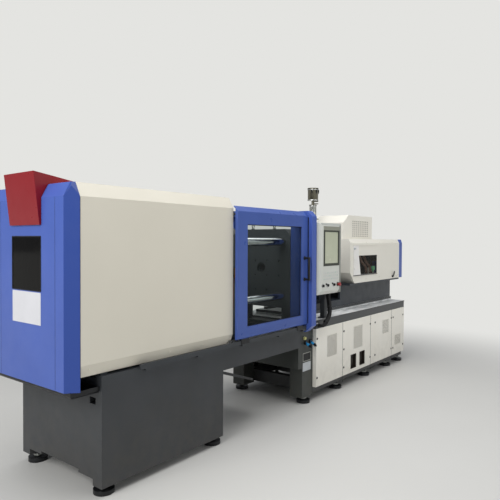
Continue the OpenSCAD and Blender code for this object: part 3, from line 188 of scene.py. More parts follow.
@dataclass(frozen=True)
class Finish:
    """A surface that starts from one colour, with a soiled share and edges of wear and painted highlight.

    Pattern sizes are wavelengths in millimetres on the real surface. The ripple has a wavelength
    and a strength, and the edge wear and highlight an amount and the colour that the edges take.
    """

    name: str
    colour: str
    shade: str
    roughness: float = 0.4
    metallic: float = 0.0
    mottle_mm: float = 240.0
    mottle: float = 0.5
    ripple: Flat = (14.0, 0.15)
    wave: float = 0.0
    grain: Point = (1.0, 1.0, 1.0)
    soil: float = 0.0
    soil_top: float = 0.75
    edge_wear_and_highlight: tuple[float, str] = (0.0, "#B9BABA")
    coat: float = 0.0
    spread: float = 0.06
    specular: float = 0.3

    def pattern(self, tree: Tree, place: Socket, size_mm: float) -> Socket:
        """Adds a noise of one wavelength, drawn out by the grain.

        Args:
            tree: Node tree of the material.
            place: Coordinates in metres.
            size_mm: Wavelength in millimetres.

        Returns:
            The noise value.
        """
        stretched = add_node(tree, "VectorMath", {0: place, 1: self.grain}, operation="MULTIPLY")
        sockets = {"Vector": stretched.outputs[0], "Scale": 1000 / size_mm, "Detail": 3.0}
        return add_node(tree, "TexNoise", sockets).outputs["Fac"]

    def colouring(self, tree: Tree, place: Socket) -> Socket | Colour:
        """Builds the colour: base, mottling, soil near the floor, and edges of wear and painted highlight.

        Args:
            tree: Node tree of the material.
            place: Coordinates in metres.

        Returns:
            The colour.
        """
        cloud = self.pattern(tree, place, self.mottle_mm)
        sockets = {"Value": cloud, "From Min": 0.35, "From Max": 0.7, "To Max": self.mottle}
        share = add_node(tree, "MapRange", sockets).outputs[0]
        sockets = {0: share, 6: linear(self.colour), 7: linear(self.shade)}
        found = add_node(tree, "Mix", sockets, data_type="RGBA").outputs[2]
        if self.soil:
            height = add_node(tree, "SeparateXYZ", {0: place}).outputs[2]
            sockets = {"Value": height, "From Min": self.soil_top, "From Max": 0.0, "To Max": self.soil}
            low = add_node(tree, "MapRange", sockets).outputs[0]
            streak = self.pattern(tree, place, STREAK_MM)
            dirt = add_node(tree, "Math", {0: low, 1: streak}, operation="MULTIPLY").outputs[0]
            sockets = {0: dirt, 6: found, 7: linear(SOIL_COLOUR)}
            found = add_node(tree, "Mix", sockets, data_type="RGBA").outputs[2]
        # Edges take the given colour: a lighter tint of the paint is painted highlight, a darker or bare
        # metal colour is wear.
        amount, bare = self.edge_wear_and_highlight
        if amount:
            turned = add_node(tree, "Bevel", {"Radius": WEAR_AND_HIGHLIGHT_M}, samples=3).outputs[0]
            flat = add_node(tree, "NewGeometry").outputs["Normal"]
            facing = add_node(tree, "VectorMath", {0: turned, 1: flat}, operation="DOT_PRODUCT")
            start, end = WEAR_AND_HIGHLIGHT_COSINES
            sockets = {
                "Value": facing.outputs["Value"], "From Min": start, "From Max": end, "To Max": amount
            }
            edge = add_node(tree, "MapRange", sockets).outputs[0]
            sockets = {"Value": self.pattern(tree, place, CHIP_MM), "From Min": 0.5, "From Max": 0.62}
            chips = add_node(tree, "MapRange", sockets).outputs[0]
            wear_and_highlight = add_node(tree, "Math", {0: edge, 1: chips}, operation="MULTIPLY").outputs[0]
            sockets = {0: wear_and_highlight, 6: found, 7: linear(bare)}
            found = add_node(tree, "Mix", sockets, data_type="RGBA").outputs[2]
        return found

    def relief(self, tree: Tree, place: Socket) -> Socket:
        """Builds the bump: the fine ripple of the finish and the slow wave of thin sheet.

        Args:
            tree: Node tree of the material.
            place: Coordinates in metres.

        Returns:
            The normal.
        """
        size_mm, strength = self.ripple
        sockets = {"Height": self.pattern(tree, place, size_mm), "Strength": strength, "Distance": 0.001}
        fine = add_node(tree, "Bump", sockets).outputs[0]
        if not self.wave:
            return fine
        wave = self.pattern(tree, place, WAVE_MM)
        sockets = {"Height": wave, "Strength": self.wave, "Distance": 0.01, "Normal": fine}
        return add_node(tree, "Bump", sockets).outputs[0]

    def shader(self, tree: Tree, place: Socket) -> Node:
        """Builds the surface shader.

        Args:
            tree: Node tree of the material.
            place: Coordinates in metres.

        Returns:
            The shader's node.
        """
        patches = self.pattern(tree, place, PATCH_MM)
        low, high = max(0.03, self.roughness - self.spread), self.roughness + self.spread
        sockets = {"Value": patches, "From Min": 0.3, "From Max": 0.7, "To Min": low, "To Max": high}
        rough = add_node(tree, "MapRange", sockets).outputs[0]
        sockets = {
            "Base Color": self.colouring(tree, place),
            "Roughness": rough,
            "Normal": self.relief(tree, place),
            "Metallic": self.metallic,
            "Specular IOR Level": METAL_SPECULAR if self.metallic else self.specular,
            "Coat Weight": self.coat,
            "Coat Roughness": COAT_ROUGHNESS,
        }
        return add_node(tree, "BsdfPrincipled", sockets)

    def material(self) -> bpy.types.Material:
        """Builds the finish as a material the first time it is asked for.

        Returns:
            The material.
        """
        found = bpy.data.materials.get(self.name)
        if found:
            return found
        made = bpy.data.materials.new(self.name)
        tree = empty_tree(made)
        surface = self.shader(tree, add_node(tree, "TexCoord").outputs["Object"])
        add_node(tree, "OutputMaterial", {"Surface": surface.outputs[0]})
        made.diffuse_color = linear(self.colour)
        return made


@dataclass(frozen=True)
class GroundTop(Finish):
    """Enamelled iron whose ground tops, and a strip at their foot, are near white: ground metal and painted
    sheen.
    """

    side: str = "#3E4042"
    side_roughness: float = 0.42
    strip_mm: Flat = (785.5, 803.0)

    def shader(self, tree: Tree, place: Socket) -> Node:
        """Mixes the bright ground top with the dark enamel of the sides.

        Args:
            tree: Node tree of the material.
            place: Coordinates in metres.

        Returns:
            The node of the mixed shader.
        """
        bright = super().shader(tree, place)
        enamel = {"Base Color": linear(self.side), "Roughness": self.side_roughness}
        dark = add_node(tree, "BsdfPrincipled", enamel)
        normal = add_node(tree, "TexCoord").outputs["Normal"]
        up = add_node(tree, "SeparateXYZ", {0: normal}).outputs[2]
        top = add_node(tree, "MapRange", {"Value": up, "From Min": 0.6, "From Max": 0.8}).outputs[0]
        low, high = (value / 1000 for value in self.strip_mm)
        height = add_node(tree, "SeparateXYZ", {0: place}).outputs[2]
        sockets = {0: height, 1: (low + high) / 2, 2: (high - low) / 2}
        near = add_node(tree, "Math", sockets, operation="COMPARE").outputs[0]
        mask = add_node(tree, "Math", {0: top, 1: near}, operation="MAXIMUM").outputs[0]
        return add_node(tree, "MixShader", {0: mask, 1: dark.outputs[0], 2: bright.outputs[0]})


@dataclass(frozen=True)
class TwoTone(Finish):
    """A finish that has a second colour beyond a limit along one axis of the machine.

    Across the machine the limit counts on both sides of the middle plane.
    """

    second: str = "#202224"
    axis: Axis = Axis.Z
    limit_mm: float = 0.0
    below: bool = False

    def colouring(self, tree: Tree, place: Socket) -> Socket | Colour:
        """Lays the second colour over the first beyond the limit.

        Args:
            tree: Node tree of the material.
            place: Coordinates in metres.

        Returns:
            The colour.
        """
        first = super().colouring(tree, place)
        along = add_node(tree, "SeparateXYZ", {0: place}).outputs[self.axis.value]
        limit = (self.limit_mm - ORIGIN[self.axis.value]) / 1000
        if self.axis is Axis.Y:
            across = add_node(tree, "Math", {0: along, 1: ORIGIN[1] / 1000}, operation="ADD").outputs[0]
            along = add_node(tree, "Math", {0: across}, operation="ABSOLUTE").outputs[0]
            limit = self.limit_mm / 1000
        test = "LESS_THAN" if self.below else "GREATER_THAN"
        mask = add_node(tree, "Math", {0: along, 1: limit}, operation=test).outputs[0]
        sockets = {0: mask, 6: first, 7: linear(self.second)}
        return add_node(tree, "Mix", sockets, data_type="RGBA").outputs[2]


@dataclass(frozen=True)
class Glazing(Finish):
    """Clear or tinted sheet that lets part of the light through."""

    ripple: Flat = (14.0, 0.0)
    specular: float = 0.5
    opacity: float = 0.35

    def colouring(self, tree: Tree, place: Socket) -> Socket | Colour:
        """Gives the sheet's own dark surface one colour all over."""
        return linear(self.shade)

    def shader(self, tree: Tree, place: Socket) -> Node:
        """Mixes a tinted pass-through with a glossy sheet, as thin glazing does.

        Args:
            tree: Node tree of the material.
            place: Coordinates in metres.

        Returns:
            The node of the mixed shader.
        """
        through = add_node(tree, "BsdfTransparent", {"Color": linear(self.colour)}).outputs[0]
        sheet = super().shader(tree, place).outputs[0]
        # The mirror share grows to the fifth power towards grazing sight, the same on both faces
        grazing = add_node(tree, "LayerWeight", {"Blend": 0.5}).outputs["Facing"]
        edge = add_node(tree, "Math", {0: grazing, 1: 5.0}, operation="POWER").outputs[0]
        sockets = {"Value": edge, "To Min": self.opacity, "To Max": 1.0}
        share = add_node(tree, "MapRange", sockets).outputs[0]
        return add_node(tree, "MixShader", {0: share, 1: through, 2: sheet})


# Polyester powder coat on sheet steel: even colour, a soft sheen and a faint orange peel.
# The real peel is about 2 mm and too fine to show, so it is drawn at 14 mm.
# The blue and red coats take a lighter tint of their paint on edges: painted highlight.
BLUE = Finish(
    "blue_powder_coat", "#465EAA", "#3F57A1", roughness=0.34, wave=0.10, soil=0.25, edge_wear_and_highlight=(0.25, "#7283BD")
)
# The chamfers of the end cover, beyond 405.6 mm from the middle, lie in shade and read deeper.
END_BLUE = TwoTone(
    "blue_powder_coat_end", "#465EAA", "#3F57A1", roughness=0.34, wave=0.10, edge_wear_and_highlight=(0.25, "#7283BD"),
    second="#2D468E", axis=Axis.Y, limit_mm=405.6
)
WHITE = Finish(
    "white_powder_coat", "#D9D4C6", "#D2CDBF", roughness=0.38, wave=0.08, mottle_mm=600.0, soil=0.3,
    edge_wear_and_highlight=(0.12, "#B4B0A5")
)
# The bottom guide of the door, below 782 mm, is black: a dark guide, and painted shade under the door.
DOOR_BLUE = TwoTone(
    "deep_blue_powder_coat", "#435BA1", "#3C5397", roughness=0.33, wave=0.08, soil=0.2,
    edge_wear_and_highlight=(0.3, "#6C7FBB"), second="#1D1E21", limit_mm=782.0, below=True
)
# The lips of the platen covers beside the doors, before 2480 mm, are blue.
GUARD_WHITE = TwoTone(
    "white_and_blue_powder_coat", "#D9D4C6", "#D2CDBF", roughness=0.38, mottle_mm=600.0, second="#435BA1",
    axis=Axis.X, limit_mm=2480.0, below=True
)
COVER_WHITE = Finish(
    "white_powder_coat_cover", "#E7E4DA", "#E1DDD2", roughness=0.36, wave=0.06, mottle_mm=500.0,
    edge_wear_and_highlight=(0.12, "#B4B0A5")
)
PANEL_WHITE = Finish("bright_white_powder_coat", "#ECEAE7", "#E5E3E0", roughness=0.34, mottle_mm=300.0)
COVER_SCREW = Finish("white_painted_screw", "#D9D4C6", "#CFCABC", roughness=0.4)
BASE_WHITE = Finish(
    "white_powder_coat_low", "#F3F0E7", "#E9E5DA", roughness=0.42, wave=0.08, mottle_mm=320.0, soil=0.45,
    soil_top=0.5, edge_wear_and_highlight=(0.25, "#A9A497")
)
RED = Finish("red_powder_coat", "#84101A", "#7A0D17", roughness=0.33, wave=0.06, edge_wear_and_highlight=(0.2, "#B25660"))
# Satin structure enamel on welded and cast frames: dark, slightly grainy, greasy in places.
# The real grain is under a millimetre and too fine to show, so it is drawn at 9 mm.
DARK = Finish(
    "dark_structure_enamel", "#3A3D41", "#303336", roughness=0.42, ripple=(9.0, 0.3), soil=0.3,
    edge_wear_and_highlight=(0.35, "#75777A")
)
GREY = Finish(
    "machine_grey_enamel", "#3C403F", "#333736", roughness=0.42, ripple=(9.0, 0.3), soil=0.3,
    edge_wear_and_highlight=(0.3, "#7B7E7B")
)
# The open end of the carriage, before 3270 mm, is near black.
CARRIAGE = TwoTone(
    "carriage_enamel", "#33383F", "#292E35", roughness=0.38, ripple=(9.0, 0.25), edge_wear_and_highlight=(0.35, "#7E8288"),
    second="#191B1D", axis=Axis.X, limit_mm=3270.0, below=True
)
# Sprayed casting: the mould skin shows as a soft pebble of about 8 mm.
CAST = Finish(
    "painted_casting", "#4A4E50", "#414547", roughness=0.42, ripple=(8.0, 0.5), mottle_mm=120.0,
    edge_wear_and_highlight=(0.5, "#9A9DA0")
)
# Ground and machined steel: fine parallel marks along X, oil film in patches.
# Real marks are about 0.2 mm apart and too fine to show, so most metals have them at 3 to 6 mm.
STEEL = Finish(
    "ground_steel", "#A9ABAB", "#8E9090", roughness=0.26, metallic=1.0, ripple=(5.0, 0.12),
    grain=(0.15, 1.0, 1.0), mottle_mm=70.0
)
# Hard chrome: a clear mirror, with no mark but a faint wave of 20 mm.
CHROME = Finish(
    "hard_chrome", "#C2C4C6", "#B2B4B7", roughness=0.10, metallic=1.0, ripple=(20.0, 0.02), mottle_mm=150.0,
    spread=0.03
)
# Ground iron plate: near-white tops partly painted sheen, painted-reflection clouds, dark enamel sides.
PLATE = GroundTop(
    "ground_bed_plate", "#F6F7F6", "#B4B6B6", roughness=0.42, ripple=(6.0, 0.10), grain=(0.4, 1.0, 1.0),
    mottle_mm=55.0, mottle=0.8
)
# Black oxide on steel: a dull near-black that wears bright on edges.
BLACK_STEEL = Finish(
    "black_oxide_steel", "#2B2C2E", "#1F2022", roughness=0.38, metallic=0.7, ripple=(4.0, 0.1),
    edge_wear_and_highlight=(0.5, "#77797C")
)
# Zinc plate: a pale soft sheen that clouds over in small patches.
ZINC = Finish(
    "zinc_plated_steel", "#A7A9A4", "#8F918C", roughness=0.34, metallic=0.9, ripple=(6.0, 0.1),
    mottle_mm=30.0
)
# Brushed stainless sheet: soft streaks along X.
STAINLESS = Finish(
    "brushed_stainless", "#C6C7C5", "#B1B2B0", roughness=0.3, metallic=0.85, ripple=(4.0, 0.12),
    grain=(0.1, 1.0, 1.0), mottle_mm=60.0
)
# Satin steel sheet: a soft even shine. The motor head of the loader, above 1950 mm, is browner.
LOADER = TwoTone(
    "loader_steel", "#A9ABA6", "#93958F", roughness=0.3, metallic=0.8, ripple=(6.0, 0.1), mottle_mm=40.0,
    second="#6A675A", limit_mm=1950.0
)
# Turned brass: a warm shine with faint tool marks.
BRASS = Finish(
    "machined_brass", "#B48A45", "#9A7436", roughness=0.3, metallic=1.0, ripple=(3.0, 0.05), mottle_mm=15.0
)
# Drawn copper pipe, oxidised: a dull brown that still glints.
COPPER = Finish(
    "oxidised_copper", "#8A4A36", "#703A2B", roughness=0.4, metallic=0.8, ripple=(5.0, 0.1), mottle_mm=40.0
)
# Moulded plastics: even colour, a fine matt grain.
# The real grain is about 0.3 mm and too fine to show, so it is drawn at 4 or 5 mm.
# The flank of the panel, beyond 2959 mm, lies in shade.
PANEL_ABS = TwoTone(
    "light_grey_moulding", "#D3D5CF", "#CBCDC7", roughness=0.46, ripple=(4.0, 0.12), mottle_mm=200.0,
    edge_wear_and_highlight=(0.1, "#DADCD8"), second="#8A8D87", axis=Axis.X, limit_mm=2959.0
)
# Mid grey of the skin over the panel's top slope: painted shade.
PANEL_TOP_SHADE = Finish("mid_grey_moulding", "#A3A6A1", "#9B9E99", roughness=0.46, ripple=(4.0, 0.12))
# The strip over the screen, above 1657 mm, is lighter.
BEZEL = TwoTone(
    "dark_grey_moulding", "#3F423B", "#383B34", roughness=0.5, ripple=(4.0, 0.1), mottle_mm=150.0,
    second="#8D8F82", limit_mm=1657.0
)
KEY_GREY = Finish("key_foil", "#CBCECB", "#C4C7C4", roughness=0.4, ripple=(5.0, 0.05))
NYLON = Finish("black_nylon", "#1D1E20", "#17181A", roughness=0.42, ripple=(4.0, 0.2), mottle_mm=40.0)
# Pressed phenolic: dark brown, with hardly any shine.
SOCKET = Finish(
    "dark_brown_phenolic", "#2E2823", "#26211D", roughness=0.5, ripple=(4.0, 0.1), mottle_mm=60.0
)
# Polished mouldings of caps and buttons: full colour and a small clear highlight.
RED_CAP = Finish("red_moulding", "#9C2228", "#8E1C22", roughness=0.3, ripple=(5.0, 0.04), coat=0.3)
YELLOW_CAP = Finish("pale_yellow_moulding", "#D3D08A", "#C4C17C", roughness=0.35, ripple=(5.0, 0.04))
GREEN_CAP = Finish("green_moulding", "#63CBA3", "#57BB94", roughness=0.35, ripple=(5.0, 0.04))
COUPLING = Finish("blue_acetal", "#2F97D6", "#2786C4", roughness=0.22, ripple=(5.0, 0.04), coat=0.4)
# Lit crystal screen behind clear film: an even pale green-grey with a faint mirror.
LCD = Finish(
    "liquid_crystal_screen", "#BEC2AB", "#B4B8A1", roughness=0.22, ripple=(30.0, 0.0), mottle_mm=140.0,
    coat=0.4
)
# Bare film and alloy plates: flat and pale, with a dull shine on the metal.
BLANK = Finish("bare_label_film", "#CFCFD3", "#C6C6CA", roughness=0.35, mottle_mm=120.0)
DULL_PLATE = Finish(
    "bare_alloy_plate", "#C3C7CB", "#B2B6BA", roughness=0.4, metallic=0.2, ripple=(6.0, 0.1), mottle_mm=50.0
)
# Extruded rubber: near-black or brown, and dull. Its fine grain is drawn at 4 mm.
RUBBER = Finish("black_rubber", "#161617", "#101011", roughness=0.6, ripple=(4.0, 0.2), mottle_mm=50.0)
BROWN_RUBBER = Finish(
    "brown_rubber", "#6A5650", "#5A4843", roughness=0.5, ripple=(4.0, 0.2), mottle_mm=40.0
)
# Woven glass fibre: cream, with no shine. A real strand of about 1 mm is drawn at 3 mm.
SLEEVE = Finish(
    "glass_fibre_sleeve", "#C9BFA6", "#AFA58C", roughness=0.8, ripple=(3.0, 0.6), mottle_mm=12.0
)
# Blown polyethylene: milky and softly glossy.
RESERVOIR = Finish("milky_polyethylene", "#D9D5C4", "#CFCAB6", roughness=0.4, mottle_mm=60.0)
# Matted fibre: a grey fuzz with no shine. A real tuft of about 1 mm is drawn at 6 mm.
FILTER = Finish("grey_filter_mat", "#B9B6AE", "#ACA9A1", roughness=0.9, ripple=(6.0, 0.6), mottle_mm=30.0)
# Painted sheet inside the covers: no more than a dark ground.
# Near-black sheet behind the louvres: painted shade for the dark inside of the covers.
SHADE_BACKING = Finish("dark_interior", "#191A19", "#131413", roughness=0.8)
# Clear and smoked polycarbonate: the room mirrors faintly, and smoke darkens what is behind.
GLASS = Glazing("clear_polycarbonate", "#ECEFEE", "#3A3D3D", roughness=0.05, spread=0.01, opacity=0.05)
TINTED = Glazing("tinted_polycarbonate", "#F2EEE8", "#2A2826", roughness=0.06, spread=0.02, opacity=0.06)
SMOKED = Glazing("smoked_polycarbonate", "#7A756D", "#1C1B1A", roughness=0.07, spread=0.02, opacity=0.25)


def circle(radius: float, sides: int) -> list[Flat]:
    """Returns evenly spaced points round the origin."""
    angles = [math.tau * k / sides for k in range(sides)]
    return [(radius * math.cos(angle), radius * math.sin(angle)) for angle in angles]


class Shape:
    """Collects the faces of one piece in machine millimetres."""

    def __init__(self) -> None:
        """Starts with no faces."""
        self.mesh = bmesh.new()

    def turn(self, axis: Axis, along: float, across: Flat, centre: Point = (0.0, 0.0, 0.0)) -> Vector:
        """Places a point given along and across an axis.

        Args:
            axis: Direction of the axis.
            along: Place along it.
            across: Places along the next two directions.
            centre: Point that all three count from.

        Returns:
            The point.
        """
        order = {Axis.X: (0, 1, 2), Axis.Y: (1, 2, 0), Axis.Z: (2, 0, 1)}[axis]
        point = Vector(centre)
        for index, value in zip(order, (along, *across)):
            point[index] += value
        return point

    def loft(self, rings: Sequence[Sequence[Vector]], closed_ends: bool = True) -> "Shape":
        """Joins rings of equal length with faces.

        Args:
            rings: Points of each ring, all in the same order.
            closed_ends: Whether the first and last ring are filled.

        Returns:
            This shape.
        """
        rows = [[self.mesh.verts.new(point) for point in ring] for ring in rings]
        count = len(rows[0])
        for first, second in zip(rows, rows[1:]):
            for k in range(count):
                self.mesh.faces.new((first[k], first[(k + 1) % count], second[(k + 1) % count], second[k]))
        if closed_ends:
            self.mesh.faces.new(rows[0][::-1])
            self.mesh.faces.new(rows[-1])
        return self

    def slab(self, low: Point, high: Point) -> "Shape":
        """Adds a rectangular body between two corners."""
        outline = [(low[1], low[2]), (high[1], low[2]), (high[1], high[2]), (low[1], high[2])]
        return self.prism(Axis.X, outline, low[0], high[0])

    def prism(self, axis: Axis, outline: Sequence[Flat], start: float, end: float) -> "Shape":
        """Draws an outline out along an axis."""
        return self.loft([[self.turn(axis, along, spot) for spot in outline] for along in (start, end)])

    def turned(self, axis: Axis, centre: Point, profile: Sequence[tuple], sides: int = 24) -> "Shape":
        """Turns a profile round an axis.

        Args:
            axis: Direction of the axis.
            centre: Point on the axis that the profile counts from.
            profile: Pairs of place and radius; a third value of True makes that ring a hexagon.
            sides: Number of sides of each ring.

        Returns:
            This shape.
        """
        rings = []
        for item in profile:
            ring = []
            for k in range(sides):
                angle = math.tau * k / sides
                radius = item[1]
                if len(item) > 2:
                    radius *= math.cos(math.pi / 6) / math.cos(angle % (math.pi / 3) - math.pi / 6)
                ring.append(
                    self.turn(axis, item[0], (radius * math.cos(angle), radius * math.sin(angle)), centre)
                )
            rings.append(ring)
        return self.loft(rings)

    def ring(
        self, axis: Axis, centre: Point, outer: float, inner: float, start: float, end: float,
        sides: int = 32
    ) -> "Shape":
        """Adds a round washer.

        Args:
            axis: Direction of its axis.
            centre: Point on the axis that the ends count from.
            outer: Outer radius.
            inner: Radius of the hole.
            start: Lower end along the axis.
            end: Upper end along the axis.
            sides: Number of sides.

        Returns:
            This shape.
        """
        spots = [(start, outer), (end, outer), (end, inner), (start, inner), (start, outer)]
        rings = [[self.turn(axis, along, spot, centre) for spot in circle(r, sides)] for along, r in spots]
        return self.loft(rings, closed_ends=False)

    def turn_about(self, axis: Axis, centre: Point, degrees: float) -> "Shape":
        """Turns all faces.

        Args:
            axis: Direction of the axis.
            centre: Point on the axis.
            degrees: Angle of the turn.

        Returns:
            This shape.
        """
        turning = Matrix.Rotation(math.radians(degrees), 4, axis.name)
        place = Matrix.Translation(centre)
        bmesh.ops.transform(self.mesh, matrix=place @ turning @ place.inverted(), verts=self.mesh.verts[:])
        return self

    def tube(self, path: Sequence[Point], radius: float | Sequence[float], sides: int = 10) -> "Shape":
        """Sweeps a round section along a path with no twist.

        Args:
            path: Points of the path.
            radius: Radius of the section, or one radius for each point.
            sides: Number of sides of the section.

        Returns:
            This shape.
        """
        points = [Vector(p) for p in path]
        radii = [radius] * len(points) if isinstance(radius, (int, float)) else radius
        side = Vector((0.3, 0.2, 1.0))
        rings = []
        for i, point in enumerate(points):
            along = (points[min(i + 1, len(points) - 1)] - points[max(i - 1, 0)]).normalized()
            side = (side - along * side.dot(along)).normalized()
            other = along.cross(side)
            rings.append([point + a * side + b * other for a, b in circle(radii[i], sides)])
        return self.loft(rings)

    def rim(self, axis: Axis, outer: Box, width: float, radius: float, start: float, end: float) -> "Shape":
        """Adds a rectangular frame with rounded corners, such as a gasket.

        Args:
            axis: Direction that the frame faces.
            outer: Lowest and highest place of the outer edge, first across and then up.
            width: Width of the frame's bars.
            radius: Radius of the outer corners.
            start: Lower end along the axis.
            end: Upper end along the axis.

        Returns:
            This shape.
        """
        def corner_points(inset: float) -> list[Flat]:
            """Rounds the outline.

            Args:
                inset: Distance that it is moved inwards.

            Returns:
                Its points.
            """
            bend = max(radius - inset, 0.5)
            left, low = outer[0] + inset + bend, outer[1] + inset + bend
            right, high = outer[2] - inset - bend, outer[3] - inset - bend
            found = []
            for a, b, turn in ((right, high, 0), (left, high, 1), (left, low, 2), (right, low, 3)):
                for step in range(ARC_STEPS + 1):
                    angle = math.pi / 2 * (turn + step / ARC_STEPS)
                    spot = (a + bend * math.cos(angle), b + bend * math.sin(angle))
                    found.append(spot if axis is not Axis.Y else spot[::-1])
            return found

        section = [(0.0, start), (0.0, end), (width, end), (width, start), (0.0, start)]
        rings = [
            [self.turn(axis, along, spot) for spot in corner_points(inset)]
            for inset, along in section
        ]
        return self.loft(rings, closed_ends=False)

    def screw(self, axis: Axis, at: Point, radius: float, way: int = 1) -> "Shape":
        """Adds a socket cap screw head that stands on a face.

        Args:
            axis: Direction that the head stands along.
            at: Middle of its foot.
            radius: Radius of the head.
            way: 1 along the axis or -1 against it.

        Returns:
            This shape.
        """
        height = radius * 0.9 * way
        profile = [(0, radius), (height * 0.8, radius), (height, radius * 0.86)]
        profile += [(height, radius * 0.5, True), (height * 0.45, radius * 0.5, True)]
        return self.turned(axis, at, profile, sides=12)

    def lock(self, axis: Axis, at: Point, radius: float, way: int = 1) -> "Shape":
        """Adds a quarter-turn cover lock: a flat head with a raised bar to turn it by.

        Args:
            axis: Direction that the head stands along.
            at: Middle of its foot.
            radius: Radius of the head.
            way: 1 along the axis or -1 against it.

        Returns:
            This shape.
        """
        profile = [(0, 1), (2.2, 1), (3.2, 0.88), (3.2, 0.7), (1.6, 0.66)]
        self.turned(axis, at, [(along * way, share * radius) for along, share in profile], sides=20)
        corners = [(a * radius * 0.6, b * radius * 0.16) for a, b in ((-1, -1), (1, -1), (1, 1), (-1, 1))]
        return self.loft(
            [[self.turn(axis, lift * way, spot, at) for spot in corners] for lift in (1.5, 3.6)]
        )

    def both_sides(self) -> "Shape":
        """Adds the mirror image of all faces on the other side of the middle plane.

        Returns:
            This shape.
        """
        whole = self.mesh.faces[:] + self.mesh.edges[:] + self.mesh.verts[:]
        for item in bmesh.ops.duplicate(self.mesh, geom=whole)["geom"]:
            if isinstance(item, bmesh.types.BMVert):
                item.co.y = -item.co.y
        return self

    def piece(
        self, name: str, finish: Finish, body: str, slot: str, bevel: float = 0.6
    ) -> bpy.types.Object:
        """Makes the object, softens its edges and lets it ride on a body.

        Args:
            name: Name of the piece.
            finish: Finish of the whole piece.
            body: Moving body that carries it.
            slot: Material slot of the record; not used.
            bevel: Width of the edge rounding in millimetres, or 0 for none.

        Returns:
            The new object.
        """
        for vert in self.mesh.verts:
            vert.co = metres(vert.co)
        bmesh.ops.recalc_face_normals(self.mesh, faces=self.mesh.faces[:])
        data = bpy.data.meshes.new(name)
        self.mesh.to_mesh(data)
        self.mesh.free()
        for polygon in data.polygons:
            polygon.use_smooth = True
        data.set_sharp_from_angle(angle=EDGE_ANGLE)
        data.materials.append(finish.material())
        made = add_object(name, data)
        if bevel:
            round_edges(made, bevel)
        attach(made, body)
        LOG.info("%s on %s, %d faces", name, body, len(data.polygons))
        return made


def extent(node: str) -> tuple[Vector, Vector]:
    """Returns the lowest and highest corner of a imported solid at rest, in machine millimetres."""
    low, high = (Vector(corner) * 1000 + Vector(ORIGIN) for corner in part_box(node))
    return low, high


def bent(path: Sequence[Point], steps: int = 6) -> list[Vector]:
    """Rounds a path by a curve that passes through all its points.

    Args:
        path: Points of the path.
        steps: Number of pieces between two points.

    Returns:
        Points of the rounded path.
    """
    points = [Vector(p) for p in path]
    points = [2 * points[0] - points[1], *points, 2 * points[-1] - points[-2]]
    found = []
    for a, b, c, d in zip(points, points[1:], points[2:], points[3:]):
        for k in range(steps):
            t = k / steps
            square, cube = 2 * a - 5 * b + 4 * c - d, 3 * b - a - 3 * c + d
            found.append(0.5 * (2 * b + (c - a) * t + square * t * t + cube * t**3))
    return [*found, points[-2]]


def thinned(path: Sequence[Vector], step: float) -> list[Vector]:
    """Spaces the points of a path evenly.

    Args:
        path: Points of the path.
        step: Distance between two points in millimetres.

    Returns:
        Points of the same path, one step apart.
    """
    found, left = [path[0]], step
    for start, end in zip(path, path[1:]):
        length, done = (end - start).length, 0.0
        while length - done >= left:
            done += left
            found.append(start.lerp(end, done / length))
            left = step
        left -= length - done
    return found


def dress(node: str, finish: Finish, bevel: float = 0.0) -> None:
    """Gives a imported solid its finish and, where asked, rounded edges.

    Args:
        node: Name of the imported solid.
        finish: Finish of the whole solid.
        bevel: Width of the edge rounding in millimetres.
    """
    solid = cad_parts[node]
    if not solid.data.materials:
        solid.data.materials.append(finish.material())
    for index in range(len(solid.material_slots)):
        solid.material_slots[index].material = finish.material()
    if bevel:
        solid.modifiers.new("weld", "WELD").merge_threshold = WELD_M
        round_edges(solid, bevel)
    LOG.info("%s dressed in %s", node, finish.name)


